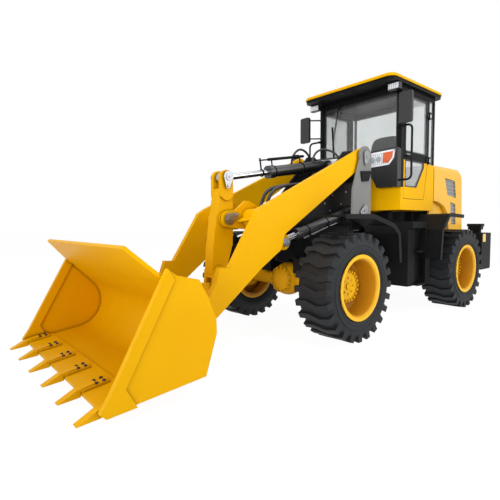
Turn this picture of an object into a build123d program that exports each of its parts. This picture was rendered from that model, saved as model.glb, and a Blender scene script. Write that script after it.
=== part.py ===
from build123d import *
import os

os.makedirs("parts", exist_ok=True)

# Articulated wheel loader, millimetres: +X forward, +Y left, +Z up, floor at Z = 0.

# Running gear
FRONT_AXLE_X = 515.0
WHEELBASE = 2510.0
TYRE_R = 540.0
TYRE_W = 410.0
TRACK_HALF = 790.0
RIM_R = 303.0
LUG_H = 26.0
LUG_W = 62.0
LUG_SWING = 22.0
LUG_DEPTH = 95.0
LUG_COUNT = 24
AXLE_TUBE_R = 85.0
HUB_BORE = 93.0
HUB_DISC_R = 165.0
HUB_FACE = 35.0
HUB_BACK = 60.0
HUB_FLOOR = -30.0
DIFF_R = 190.0
REAR_AXLE_X = FRONT_AXLE_X - WHEELBASE
PIVOT_X = FRONT_AXLE_X - WHEELBASE / 2
AXLE_Z = TYRE_R

# Clearances
FIT = 0.4
MOVE = 6.0
JOIN = 0.5

# Linkage pivots in side view (x, z)
BOOM_PIN = (-190.0, 1950.0)
BUCKET_PIN = (2140.0, 390.0)
CRANK_PIN = (1480.0, 1222.0)
CRANK_TOP = (1470.0, 1632.0)
CRANK_FOOT = (1588.0, 545.0)
BUCKET_EYE = (2124.0, 569.0)
TILT_BASE = (-100.0, 1895.0)
LIFT_EYE = (1045.0, 993.0)
LIFT_BASE = (-170.0, 1335.0)
PIN_R = 36.0

# Loader arms
ARM_IN = 450.0
ARM_T = 55.0
ARM_END_R = 95.0
ARM_OUT = ARM_IN + ARM_T
LUG_T = 25.0

# Tower
INNER_Y = 270.0
PLATE_T = 25.0
OUTER_Y = ARM_OUT + 20.0

# Cylinders
LIFT_Y = 375.0
LIFT_BARREL_R = 52.0
TILT_BARREL_R = 62.0
ROD_R = 32.0
TILT_EAR = TILT_BARREL_R + MOVE
STEER_Y = 215.0
STEER_R = 38.0
STEER_ROD_R = 20.0
STEER_PIN_R = 16.0
STEER_EYE_HALF = STEER_R - 2
STEER_BARREL_L = 312.0
STEER_Z = 720.0
STEER_BASE_X = PIVOT_X - 115
STEER_EYE_X = PIVOT_X + 370

# Bucket
BUCKET_HALF = 1020.0
SIDE_T = 20.0
STRIP_T = 12.0
STRIP_W = 95.0
INNER_STRIP_T = 13.0
GUARD_T = 26.0
LIP_T = 10.0
LIP_L = 230.0
SHELL_T = 14.0
SHELL_R = 267.0
LIP = (3060.0, 68.0)
SPILL = (2868.0, 1034.0)
SPILL_LOW = (2640.0, 810.0)
SPILL_HALF = 860.0
SHELL_CORNER = (2032.0, 212.0)
TOOTH_COUNT = 6
TOOTH_TIP = (3208.0, 41.0)
TOOTH_W = 62.0
STRAP_L = 190.0

# Cab
CAB_FRONT = -815.0
CAB_REAR = -1690.0
CAB_HALF = 640.0
CAB_FLOOR = 1340.0
CAB_SILL = CAB_FLOOR + 145
COWL_TOP = CAB_SILL + 280
CORNER_TOP = CAB_SILL + 137
PANEL_TOP = CAB_SILL + 475
CAB_TOP = 2866.0
WALL = 40.0
POST = 62.0
REAR_POST = 34.0
DOOR_POST = 46.0
DOOR_REAR = -1500.0
DOOR_T = 40.0
DOOR_EDGE = 30.0
GLASS_T = 6.0
VISOR_T = 38.0
ROOF_T = 45.0
ROOF_FRONT = -500.0
ROOF_REAR = -1830.0
ROOF_HALF = 700.0
VISOR_TOP = CAB_TOP + VISOR_T
LAMP_DEPTH = 88.0
RAIL_R = 13.0
RAIL_X = CAB_FRONT + 45
RAIL_Y = CAB_HALF + 160
MIRROR_X = CAB_FRONT + 170
MIRROR_Y = CAB_HALF + 60

# Rear body
HOOD_FRONT = CAB_REAR - 22
HOOD_REAR = -2740.0
HOOD_HALF = CAB_HALF
HOOD_LOW_HALF = 578.0
HOOD_TOP = 1985.0
HOOD_BOTTOM = 1060.0
HOOD_T = 25.0
HOOD_ROUND = 180.0
HOOD_EDGE_R = 85.0
HOOD_LEAN = 60.0
SLAT_PITCH = 48.0
WEIGHT_FRONT = -2760.0
WEIGHT_REAR = -3198.0
WEIGHT_HALF = 900.0
WEIGHT_TOP = 1015.0
WEIGHT_BOTTOM = 455.0
FRAME_Y = 300.0
FRAME_T = 30.0
FRAME_BOTTOM = 690.0
FRAME_TOP = 960.0
HITCH_R = 25.0
ENGINE_HALF = 230.0
HOOD_HINGE = (WEIGHT_FRONT - 2, WEIGHT_TOP + 27)
HOOD_HINGE_Y = 400.0
SHAFT_R = 34.0
SHAFT_Z = 700.0

# Steps and fenders
STEP_FRONT = -830.0
STEP_REAR = -1190.0
STEP_HALF = 805.0
STEP_TOP = 1190.0
TREAD_W = 120.0
FENDER_T = 22.0
FENDER_IN = 590.0
FENDER_OUT = 985.0
SKIRT_H = 46.0
SKIRT_T = 10.0
SKIRT_LIP = 4.0
BEND_R = 70.0


def plate(points, y0, y1, mode=Mode.ADD):
    """Prism of a side-view outline between two y values."""
    with BuildSketch(Plane.XZ.offset(-y1)) as outline:
        Polygon(*points, align=None)
    extrude(outline.sketch, amount=y1 - y0, mode=mode)


def disc(centre, r, y0, y1, mode=Mode.ADD):
    """Cylinder along y about a side-view point."""
    with Locations(Location((centre[0], (y0 + y1) / 2, centre[1]), (90, 0, 0))):
        Cylinder(r, y1 - y0, mode=mode)


def block(x0, x1, y0, y1, z0, z1, mode=Mode.ADD):
    """Box from its limits."""
    with Locations(((x0 + x1) / 2, (y0 + y1) / 2, (z0 + z1) / 2)):
        Box(abs(x1 - x0), abs(y1 - y0), abs(z1 - z0), mode=mode)


def post(x, y, r, z0, z1, mode=Mode.ADD):
    """Upright cylinder."""
    with Locations((x, y, (z0 + z1) / 2)):
        Cylinder(r, z1 - z0, mode=mode)


def bar(p, q, r, mode=Mode.ADD):
    """Round bar between two points in space."""
    a = Vector(*p)
    d = Vector(*q) - a
    with BuildSketch(Plane(origin=a, z_dir=d)) as ring:
        Circle(r)
    extrude(ring.sketch, amount=d.length, mode=mode)


def along(p, q, s, y=0.0):
    """Point in space at distance s from p towards q, both in side view."""
    d = Vector(q[0] - p[0], 0, q[1] - p[1]).normalized()
    return (p[0] + d.X * s, y, p[1] + d.Z * s)


def strap(p, q, r0, r1, y0, y1):
    """Tapered flat bar with round ends, in side view."""
    d = Vector(q[0] - p[0], q[1] - p[1]).normalized()
    n = Vector(-d.Y, d.X)
    plate(
        [
            (p[0] + n.X * r0, p[1] + n.Y * r0),
            (p[0] - n.X * r0, p[1] - n.Y * r0),
            (q[0] - n.X * r1, q[1] - n.Y * r1),
            (q[0] + n.X * r1, q[1] + n.Y * r1),
        ],
        y0,
        y1,
    )
    disc(p, r0, y0, y1)
    disc(q, r1, y0, y1)


def bent_sheet(points, bend, t, y0, y1):
    """Sheet of thickness t along a side-view line with rounded bends."""
    with BuildSketch(Plane.XZ.offset(-y1)) as section:
        with BuildLine() as run:
            FilletPolyline(*points, radius=bend)
        trace(run.line, t)
    extrude(section.sketch, amount=y1 - y0)


def front_plate(points, x0, x1, mode=Mode.ADD, inset=0.0):
    """Prism of a front-view (y, z) outline between two x values."""
    with BuildSketch(Plane.YZ.offset(x0)) as outline:
        Polygon(*points, align=None)
        if inset:
            offset(amount=-inset, mode=Mode.REPLACE)
    extrude(outline.sketch, amount=x1 - x0, mode=mode)


def save(builder, label):
    builder.part.label = label
    export_step(builder.part, "parts/" + label + ".step")


SIDES = (1, -1)


def span(side, a, b):
    """Limits a to b out from the centre line, on one side."""
    return (a, b) if side > 0 else (-b, -a)


# Wheels: one tyre form and one rim form, placed four times
TREAD_R = TYRE_R - LUG_H
HALF_W = TYRE_W / 2
LUG_WAVE = ((-0.96, 0.3), (-0.34, 1.0), (0.3, -1.0), (0.96, 0.5))
AXLE_LINE = Axis((0, 0, 0), (0, 1, 0))


def lathe(profile):
    """Turned form about the axle line, from (radius, y) points."""
    with BuildSketch(Plane.XY) as cut:
        Polygon(*profile, align=None)
    revolve(cut.sketch, axis=AXLE_LINE)


def lug_plane(turn):
    """Plane on a lug's top, facing out from the axle."""
    out = Vector(0, 0, -1).rotate(AXLE_LINE, turn)
    return Plane(origin=out * TYRE_R, x_dir=(0, 1, 0), z_dir=out)


with BuildPart() as tyre_form:
    wall = [
        (RIM_R + 6, HALF_W * 0.84),
        (RIM_R + 70, HALF_W * 0.98),
        (TYRE_R - 130, HALF_W),
        (TREAD_R - 40, HALF_W * 0.93),
        (TREAD_R, HALF_W * 0.8),
    ]
    lathe(wall + [(r, -y) for r, y in reversed(wall)])
    with BuildSketch(*[lug_plane(i * 360 / LUG_COUNT) for i in range(LUG_COUNT)]) as lugs:
        Polygon(
            *[(HALF_W * y, LUG_SWING * t - LUG_W / 2) for y, t in LUG_WAVE],
            *[(HALF_W * y, LUG_SWING * t + LUG_W / 2) for y, t in reversed(LUG_WAVE)],
            align=None,
        )
    extrude(lugs.sketch, amount=-LUG_DEPTH)

with BuildPart() as rim_form:
    lathe(
        [
            (0, HUB_FLOOR),
            (HUB_BORE, HUB_FLOOR),
            (HUB_BORE, -HUB_BACK),
            (HUB_DISC_R + 5, -HUB_BACK),
            (RIM_R - 50, -HUB_BACK / 2),
            (RIM_R - 50, -HALF_W * 0.9),
            (RIM_R + 5.5, -HALF_W * 0.9),
            (RIM_R + 5.5, HALF_W * 0.9),
            (RIM_R + 26, HALF_W * 0.915),
            (RIM_R + 26, HALF_W * 0.96),
            (RIM_R - 8, HALF_W * 0.96),
            (RIM_R - 26, HALF_W * 0.86),
            (RIM_R - 34, HALF_W * 0.4),
            (RIM_R - 40, -5),
            (HUB_DISC_R, -HUB_BACK / 2),
            (HUB_DISC_R, HUB_FACE - 8),
            (HUB_DISC_R - 10, HUB_FACE),
            (0, HUB_FACE),
        ]
    )

WHEELS = (
    ("front_left", FRONT_AXLE_X, 1),
    ("front_right", FRONT_AXLE_X, -1),
    ("rear_left", REAR_AXLE_X, 1),
    ("rear_right", REAR_AXLE_X, -1),
)
for wheel, wheel_x, wheel_side in WHEELS:
    turn_out = (0, 0, 0) if wheel_side > 0 else (0, 0, 180)
    place = Location((wheel_x, wheel_side * TRACK_HALF, AXLE_Z), turn_out)
    with BuildPart(place) as tyre:
        add(tyre_form.part)
    save(tyre, wheel + "_tyre")
    with BuildPart(place) as rim:
        add(rim_form.part)
    save(rim, wheel + "_rim")

# Axles
AXLE_END = TRACK_HALF - HUB_BACK - MOVE


def axle_housing(x):
    disc((x, AXLE_Z), AXLE_TUBE_R, -AXLE_END, AXLE_END)
    with Locations((x, 0, AXLE_Z)):
        Sphere(DIFF_R)
    disc((x, AXLE_Z), 150, -AXLE_END, -AXLE_END + 60)
    disc((x, AXLE_Z), 150, AXLE_END - 60, AXLE_END)
    for s in SIDES:
        disc((x, AXLE_Z), HUB_BORE - FIT, *span(s, AXLE_END - 10, AXLE_END + 28))


with BuildPart() as front_axle:
    axle_housing(FRONT_AXLE_X)
save(front_axle, "front_axle")

with BuildPart() as rear_axle:
    axle_housing(REAR_AXLE_X)
save(rear_axle, "rear_axle")

# Front frame: tower plates, chassis box and pivot lugs
AXLE_SEAT = AXLE_Z + AXLE_TUBE_R + JOIN
TOWER_REAR = -320.0
LUG_LOW = 470.0
LUG_HIGH = 930.0
PIVOT_LUG_T = 40.0
PIVOT_LUG_R = 110.0
PIVOT_PIN_R = 40.0
STEER_EARS = (
    (STEER_Z - STEER_EYE_HALF - MOVE - 22, STEER_Z - STEER_EYE_HALF - MOVE),
    (STEER_Z + STEER_EYE_HALF + MOVE, STEER_Z + STEER_EYE_HALF + MOVE + 22),
)
INNER_PLATE = [
    (TOWER_REAR, LUG_LOW),
    (TOWER_REAR, BOOM_PIN[1] + 60),
    (BOOM_PIN[0] - 60, BOOM_PIN[1] + 95),
    (BOOM_PIN[0] + 70, BOOM_PIN[1] + 80),
    (60, 1840),
    (560, 1330),
    (1000, 1010),
    (1000, 800),
    (820, 760),
    (820, AXLE_SEAT + DIFF_R),
    (210, AXLE_SEAT + DIFF_R),
    (210, 560),
    (60, LUG_LOW),
]
OUTER_PLATE = [
    (TOWER_REAR + 20, 1170),
    (TOWER_REAR + 20, BOOM_PIN[1] - 20),
    (BOOM_PIN[0] + 95, BOOM_PIN[1] - 20),
    (46, 1560),
    (60, 1170),
]
with BuildPart() as front_frame:
    for s in SIDES:
        plate(INNER_PLATE, *span(s, INNER_Y, INNER_Y + PLATE_T))
        plate(OUTER_PLATE, *span(s, OUTER_Y, OUTER_Y + PLATE_T))
        disc(BOOM_PIN, 110, *span(s, OUTER_Y, OUTER_Y + PLATE_T))
        block(TOWER_REAR + 20, 60, *span(s, INNER_Y, OUTER_Y + PLATE_T), 1150, 1190)
        block(FRONT_AXLE_X - 120, FRONT_AXLE_X + 120, *span(s, 180, 330), AXLE_SEAT, AXLE_SEAT + DIFF_R)
    block(TOWER_REAR, TOWER_REAR + 30, -INNER_Y, INNER_Y, LUG_LOW, 1750)
    for s in SIDES:
        block(TOWER_REAR, TOWER_REAR + 30, *span(s, STEER_Y - 50, STEER_Y + 50), STEER_Z - 45, STEER_Z + 45,
              Mode.SUBTRACT)
        bar(
            (TOWER_REAR - 1, 0, SHAFT_Z - 60),
            (TOWER_REAR + 31, 0, SHAFT_Z - 60),
            SHAFT_R + 40,
            Mode.SUBTRACT,
        )
    block(700, 1000, -INNER_Y, INNER_Y, 905, 935)
    block(-100, 700, -INNER_Y, INNER_Y, AXLE_SEAT + DIFF_R - 20, AXLE_SEAT + DIFF_R + 10)
    disc((TOWER_REAR + 105, 1730), 70, -OUTER_Y, OUTER_Y)
    for s in SIDES:
        strap((TOWER_REAR + 105, 1730), TILT_BASE, 70, 55, *span(s, TILT_EAR, TILT_EAR + PLATE_T))
    for z in (LUG_LOW, LUG_HIGH):
        block(PIVOT_X, TOWER_REAR, -PIVOT_LUG_R, PIVOT_LUG_R, z, z + PIVOT_LUG_T)
        post(PIVOT_X, 0, PIVOT_LUG_R, z, z + PIVOT_LUG_T)
        post(PIVOT_X, 0, PIVOT_PIN_R + FIT, z, z + PIVOT_LUG_T, Mode.SUBTRACT)
    for s in SIDES:
        disc(BOOM_PIN, PIN_R + FIT, *span(s, INNER_Y, OUTER_Y + PLATE_T), Mode.SUBTRACT)
        disc(LIFT_BASE, PIN_R + FIT, *span(s, INNER_Y, OUTER_Y + PLATE_T), Mode.SUBTRACT)
    disc(TILT_BASE, PIN_R + FIT, -TILT_EAR - PLATE_T, TILT_EAR + PLATE_T, Mode.SUBTRACT)
    for s in SIDES:
        for z0, z1 in STEER_EARS:
            block(STEER_EYE_X - 30, TOWER_REAR, *span(s, STEER_Y - 40, STEER_Y + 40), z0, z1)
save(front_frame, "front_frame")

with BuildPart() as tower_pins:
    for s in SIDES:
        disc(BOOM_PIN, PIN_R, *span(s, INNER_Y - 10, OUTER_Y + PLATE_T + 12))
        disc(LIFT_BASE, PIN_R, *span(s, INNER_Y - 10, OUTER_Y + PLATE_T + 12))
    disc(TILT_BASE, PIN_R, -TILT_EAR - PLATE_T - 10, TILT_EAR + PLATE_T + 10)
save(tower_pins, "tower_pins")

FRONT_ARCH = (
    (FRONT_AXLE_X + 260, TYRE_R * 2 + 166),
    (FRONT_AXLE_X - 210, TYRE_R * 2 + 170),
    (FRONT_AXLE_X - 585, TYRE_R * 2 + 75),
    (FRONT_AXLE_X - 700, TYRE_R * 2 - 10),
    (FRONT_AXLE_X - 735, TYRE_R + 210),
)


def fender(arch, side):
    """Mudguard with a turned-down outer skirt."""
    bent_sheet(arch, BEND_R, FENDER_T, *span(side, FENDER_IN, FENDER_OUT))
    skirt = [(x, z - SKIRT_H / 2 + FENDER_T / 2 + SKIRT_LIP) for x, z in arch]
    bent_sheet(skirt, BEND_R, SKIRT_H, *span(side, FENDER_OUT - SKIRT_T, FENDER_OUT + SKIRT_LIP))


with BuildPart() as front_fenders:
    for s in SIDES:
        fender(FRONT_ARCH, s)
        block(-20, 60, *span(s, OUTER_Y + PLATE_T + JOIN, FENDER_IN + 20), 1155, 1190)
save(front_fenders, "front_fenders")

# Loader arms
ARM = [
    (BOOM_PIN[0] + 30, BOOM_PIN[1] + 87),
    (1360, 1343),
    (1450, 1290),
    (1500, 1207),
    (1769, 792),
    (1871, 800),
    (1914, 678),
    (1987, 564),
    (BUCKET_PIN[0] + 45, BUCKET_PIN[1] + 83),
    (BUCKET_PIN[0] - 45, BUCKET_PIN[1] - 83),
    (1904, 383),
    (1390, 769),
    (1142, 924),
    (1120, 965),
    (1095, 1070),
    (BOOM_PIN[0] - 50, BOOM_PIN[1] - 78),
]
with BuildPart() as arms:
    for s in SIDES:
        plate(ARM, *span(s, ARM_IN, ARM_OUT))
        disc(BOOM_PIN, ARM_END_R, *span(s, ARM_IN, ARM_OUT))
        disc(BUCKET_PIN, ARM_END_R, *span(s, ARM_IN, ARM_OUT))
        strap(LIFT_EYE, (1290, 1000), 78, 70, *span(s, ARM_IN - LUG_T, ARM_IN + 1))
        disc(BOOM_PIN, PIN_R + FIT, *span(s, ARM_IN, ARM_OUT), Mode.SUBTRACT)
        disc(BUCKET_PIN, PIN_R + FIT, *span(s, ARM_IN, ARM_OUT), Mode.SUBTRACT)
        disc(LIFT_EYE, PIN_R, *span(s, ARM_IN - LUG_T, ARM_IN + 30))
CROSS_TUBE = (1225.0, 1230.0)
CROSS_R = 95.0
EAR_IN = 92.0
EAR_T = 32.0
for s, name in ((1, "left_arm"), (-1, "right_arm")):
    with BuildPart() as arm:
        add(arms.part.solids().sort_by(Axis.Y)[-1 if s > 0 else 0])
    save(arm, name)
with BuildPart() as boom_cross:
    disc(CROSS_TUBE, CROSS_R, -ARM_IN + JOIN, ARM_IN - JOIN)
    for s in SIDES:
        strap(CROSS_TUBE, CRANK_PIN, CROSS_R + 20, 80, *span(s, EAR_IN, EAR_IN + EAR_T))
        disc(CRANK_PIN, PIN_R + FIT, *span(s, EAR_IN, EAR_IN + EAR_T), Mode.SUBTRACT)
save(boom_cross, "boom_cross_tube")

# Bell crank, its pivot pin, and the bucket link with its pin
CRANK_HALF = EAR_IN - MOVE
with BuildPart() as crank_pin:
    disc(CRANK_PIN, PIN_R, -EAR_IN - EAR_T - 12, EAR_IN + EAR_T + 12)
save(crank_pin, "bell_crank_pin")

LINK_HALF = 38.0
CRANK_WEB = 64.0
FORK_H = 80.0
TOP_FORK = (CRANK_TOP[0], CRANK_TOP[1] - 150)
FOOT_FORK = (CRANK_FOOT[0] - 25, CRANK_FOOT[1] + 145)
with BuildPart() as bell_crank:
    with BuildSketch(Plane.XZ.offset(-CRANK_WEB)) as web:
        with BuildLine():
            front = Spline(
                (TOP_FORK[0] + 75, TOP_FORK[1]),
                (CRANK_PIN[0] + 118, CRANK_PIN[1] - 57),
                (CRANK_PIN[0] + 160, CRANK_PIN[1] - 420),
                (FOOT_FORK[0] + 80, FOOT_FORK[1]),
            )
            Polyline(
                front @ 1,
                (FOOT_FORK[0] - 80, FOOT_FORK[1]),
                (CRANK_PIN[0] - 88, CRANK_PIN[1] - 255),
                (CRANK_PIN[0] - 105, CRANK_PIN[1] + 60),
                (TOP_FORK[0] - 75, TOP_FORK[1]),
                front @ 0,
            )
        make_face()
    extrude(amount=2 * CRANK_WEB)
    for fork, eye, half in ((TOP_FORK, CRANK_TOP, 72), (FOOT_FORK, CRANK_FOOT, 62)):
        block(
            fork[0] - 75,
            fork[0] + 75,
            -CRANK_HALF,
            CRANK_HALF,
            fork[1] - FORK_H / 2,
            fork[1] + FORK_H / 2,
        )
        for s in SIDES:
            strap(fork, eye, 75, half, *span(s, LINK_HALF + MOVE, CRANK_HALF))
    disc(CRANK_PIN, 85, -CRANK_HALF, CRANK_HALF)
    for s in SIDES:
        disc(CRANK_TOP, PIN_R, *span(s, LINK_HALF + MOVE, CRANK_HALF + 20))
        disc(CRANK_FOOT, PIN_R + FIT, *span(s, LINK_HALF + MOVE, CRANK_HALF), Mode.SUBTRACT)
    disc(CRANK_PIN, PIN_R + FIT, -CRANK_HALF, CRANK_HALF, Mode.SUBTRACT)
save(bell_crank, "bell_crank")

with BuildPart() as link_pin:
    disc(CRANK_FOOT, PIN_R, -CRANK_HALF - 12, CRANK_HALF + 12)
save(link_pin, "link_pin")

with BuildPart() as bucket_link:
    strap(CRANK_FOOT, BUCKET_EYE, 52, 52, -LINK_HALF, LINK_HALF)
    disc(CRANK_FOOT, PIN_R + FIT, -LINK_HALF, LINK_HALF, Mode.SUBTRACT)
save(bucket_link, "bucket_link")

# Cylinders of the loader: barrel and rod each
TILT_LEN = Vector(CRANK_TOP[0] - TILT_BASE[0], CRANK_TOP[1] - TILT_BASE[1]).length
LIFT_LEN = Vector(LIFT_EYE[0] - LIFT_BASE[0], LIFT_EYE[1] - LIFT_BASE[1]).length
TILT_BARREL_L = 960.0
LIFT_BARREL_L = 1010.0
ROD_BORE = ROD_R + 1.0


def barrel(base, tip, length, radius, y, eye_half):
    disc(base, 58, y - eye_half, y + eye_half)
    bar(along(base, tip, 45, y), along(base, tip, length, y), radius)
    bar(along(base, tip, length - 60, y), along(base, tip, length, y), radius + 9)
    bar(along(base, tip, 140, y), along(base, tip, length, y), ROD_BORE, Mode.SUBTRACT)
    disc(base, PIN_R + FIT, y - eye_half, y + eye_half, Mode.SUBTRACT)


def rod(base, tip, start, y, eye_half):
    total = Vector(tip[0] - base[0], tip[1] - base[1]).length
    bar(along(base, tip, start, y), along(base, tip, total, y), ROD_R)
    disc(tip, 55, y - eye_half, y + eye_half)


with BuildPart() as tilt_barrel:
    barrel(TILT_BASE, CRANK_TOP, TILT_BARREL_L, TILT_BARREL_R, 0, TILT_BARREL_R - 6)
save(tilt_barrel, "tilt_cylinder")
with BuildPart() as tilt_rod:
    rod(TILT_BASE, CRANK_TOP, 720, 0, LINK_HALF)
save(tilt_rod, "tilt_rod")
with BuildPart() as lift_barrels:
    for s in SIDES:
        barrel(LIFT_BASE, LIFT_EYE, LIFT_BARREL_L, LIFT_BARREL_R, s * LIFT_Y, 45)
save(lift_barrels, "lift_cylinders")
with BuildPart() as lift_rods:
    for s in SIDES:
        rod(LIFT_BASE, LIFT_EYE, 180, s * LIFT_Y, 36)
save(lift_rods, "lift_rods")

# Bucket
INSIDE = BUCKET_HALF - SIDE_T - STRIP_T
FLOOR_SLOPE = (SHELL_CORNER[1] - LIP[1]) / (LIP[0] - SHELL_CORNER[0])
SIDE_PLATE = [
    (2648, 896),
    (2579, 847),
    (2412, 806),
    (2346, 686),
    (2278, 528),
    (2274, 421),
    (2320, 280),
    (2367, 137),
    (2920, 88),
    (LIP[0], LIP[1] - 4),
    (3095, 97),
    (3036, 184),
]
FRONT_STRIP = [
    (2648, 896),
    (3036, 184),
    (3095, 97),
    (LIP[0], LIP[1] - 4),
    (LIP[0] - 2 * STRIP_W, LIP[1] + 10),
    (3036 - STRIP_W, 184 + STRIP_W / 4),
    (2648 - STRIP_W / 2, 896 - STRIP_W * 0.75),
]
SPILL_RISE = Vector(SPILL[0] - SPILL_LOW[0], 0, SPILL[1] - SPILL_LOW[1])
SPILL_PLANE = Plane(
    origin=(SPILL_LOW[0], 0, SPILL_LOW[1]),
    x_dir=(0, 1, 0),
    z_dir=Vector(0, 1, 0).cross(SPILL_RISE),
)
with BuildPart() as bucket:
    for s in SIDES:
        for y in (ARM_IN - MOVE - EAR_T, ARM_OUT + MOVE):
            strap((2345, 420), BUCKET_PIN, 130, 78, *span(s, y, y + EAR_T))
        strap((2370, 520), BUCKET_EYE, 90, 60, *span(s, LINK_HALF + MOVE, LINK_HALF + MOVE + EAR_T))
    with BuildSketch(Plane.XZ.offset(-INSIDE)) as inside:
        with BuildLine():
            back = FilletPolyline(SPILL_LOW, SHELL_CORNER, LIP, radius=SHELL_R)
            Line(back @ 1, back @ 0)
        make_face()
    extrude(amount=2 * INSIDE, mode=Mode.SUBTRACT)
    with BuildSketch(Plane.XZ.offset(-INSIDE)) as shell:
        with BuildLine() as run:
            FilletPolyline(SPILL_LOW, SHELL_CORNER, LIP, radius=SHELL_R)
        trace(run.line, SHELL_T)
    extrude(amount=2 * INSIDE)
    plate(
        [
            (LIP[0], LIP[1]),
            (LIP[0] - LIP_L, LIP[1] + LIP_L * FLOOR_SLOPE),
            (LIP[0] - LIP_L, LIP[1] + LIP_L * FLOOR_SLOPE + SHELL_T / 2 + LIP_T),
            (LIP[0], LIP[1] + SHELL_T / 2 + LIP_T),
        ],
        -INSIDE,
        INSIDE,
    )
    with BuildSketch(SPILL_PLANE) as guard:
        Polygon(
            (-INSIDE, -2),
            (INSIDE, -2),
            (SPILL_HALF, SPILL_RISE.length),
            (-SPILL_HALF, SPILL_RISE.length),
            align=None,
        )
    extrude(amount=GUARD_T / 2, both=True)
    for s in SIDES:
        plate(SIDE_PLATE, *span(s, INSIDE, BUCKET_HALF - STRIP_T))
        plate(FRONT_STRIP, *span(s, BUCKET_HALF - STRIP_T - 1, BUCKET_HALF))
        plate(FRONT_STRIP, *span(s, INSIDE - INNER_STRIP_T, INSIDE + 1))
        for y in (ARM_IN - MOVE - EAR_T, ARM_OUT + MOVE):
            disc(BUCKET_PIN, PIN_R + FIT, *span(s, y, y + EAR_T), Mode.SUBTRACT)
save(bucket, "bucket")

FLOOR_TOP = LIP[1] + SHELL_T / 2 + LIP_T + 1
with BuildPart() as teeth:
    for i in range(TOOTH_COUNT):
        y = (2 * i / (TOOTH_COUNT - 1) - 1) * (INSIDE - TOOTH_W)
        plate(
            [
                (LIP[0] - 110, FLOOR_TOP + 110 * FLOOR_SLOPE),
                (LIP[0] - 95, FLOOR_TOP + 110 * FLOOR_SLOPE + 24),
                (LIP[0] + 30, LIP[1] + 34),
                TOOTH_TIP,
                (LIP[0] + 20, LIP[1] - 16),
                (LIP[0] + 3, LIP[1] - 14),
                (LIP[0] + 3, FLOOR_TOP),
            ],
            y - TOOTH_W / 2,
            y + TOOTH_W / 2,
        )
        plate(
            [
                (LIP[0] - STRAP_L, FLOOR_TOP + STRAP_L * FLOOR_SLOPE),
                (LIP[0] - STRAP_L + 12, FLOOR_TOP + STRAP_L * FLOOR_SLOPE + 16),
                (LIP[0] - 10, FLOOR_TOP + 18),
                (LIP[0] - 2, FLOOR_TOP),
            ],
            y - TOOTH_W * 0.75,
            y + TOOTH_W * 0.75,
        )
save(teeth, "bucket_teeth")

with BuildPart() as bucket_pins:
    for s in SIDES:
        disc(BUCKET_PIN, PIN_R, *span(s, ARM_IN - MOVE - EAR_T - 10, ARM_OUT + MOVE + EAR_T + 10))
save(bucket_pins, "bucket_pins")

# Rear frame with pivot lugs and tow hitch
REAR_LUG_LOW = LUG_LOW + PIVOT_LUG_T + MOVE
REAR_LUG_HIGH = LUG_HIGH - MOVE - PIVOT_LUG_T
HITCH_Z = 640.0
HITCH_X = WEIGHT_REAR + 60
with BuildPart() as rear_frame:
    for s in SIDES:
        plate(
            [
                (-900, REAR_LUG_LOW),
                (-900, FRAME_TOP),
                (WEIGHT_FRONT + JOIN, FRAME_TOP),
                (WEIGHT_FRONT + JOIN, FRAME_BOTTOM),
                (-1500, FRAME_BOTTOM),
                (-1350, REAR_LUG_LOW),
            ],
            *span(s, FRAME_Y, FRAME_Y + FRAME_T),
        )
        block(REAR_AXLE_X - 120, REAR_AXLE_X + 120, *span(s, 240, 340), AXLE_SEAT, FRAME_BOTTOM + 1)
    block(-940, -900, -FRAME_Y, FRAME_Y, REAR_LUG_LOW, FRAME_TOP)
    bar((-941, 0, SHAFT_Z), (-899, 0, SHAFT_Z), SHAFT_R + 20, Mode.SUBTRACT)
    block(-2740, -2700, -FRAME_Y, FRAME_Y, FRAME_BOTTOM, FRAME_TOP)
    for z in (REAR_LUG_LOW, REAR_LUG_HIGH):
        plate_z = z + PIVOT_LUG_T
        block(-900, PIVOT_X, -PIVOT_LUG_R, PIVOT_LUG_R, z, plate_z)
        post(PIVOT_X, 0, PIVOT_LUG_R, z, plate_z)
        post(PIVOT_X, 0, PIVOT_PIN_R + FIT, z, plate_z, Mode.SUBTRACT)
    for s in SIDES:
        for z0, z1 in STEER_EARS:
            block(-900, STEER_BASE_X + 28, *span(s, STEER_Y - 40, STEER_Y + 40), z0, z1)
            post(STEER_BASE_X, s * STEER_Y, STEER_PIN_R + FIT, z0, z1, Mode.SUBTRACT)
save(rear_frame, "rear_frame")

with BuildPart() as pivot_pins:
    post(PIVOT_X, 0, PIVOT_PIN_R, LUG_LOW - 8, REAR_LUG_LOW + PIVOT_LUG_T + 8)
    post(PIVOT_X, 0, PIVOT_PIN_R, REAR_LUG_HIGH - 8, LUG_HIGH + PIVOT_LUG_T + 8)
    for s in SIDES:
        post(STEER_BASE_X, s * STEER_Y, STEER_PIN_R, STEER_EARS[0][0] - 6, STEER_EARS[1][1] + 6)
save(pivot_pins, "pivot_pins")

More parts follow.
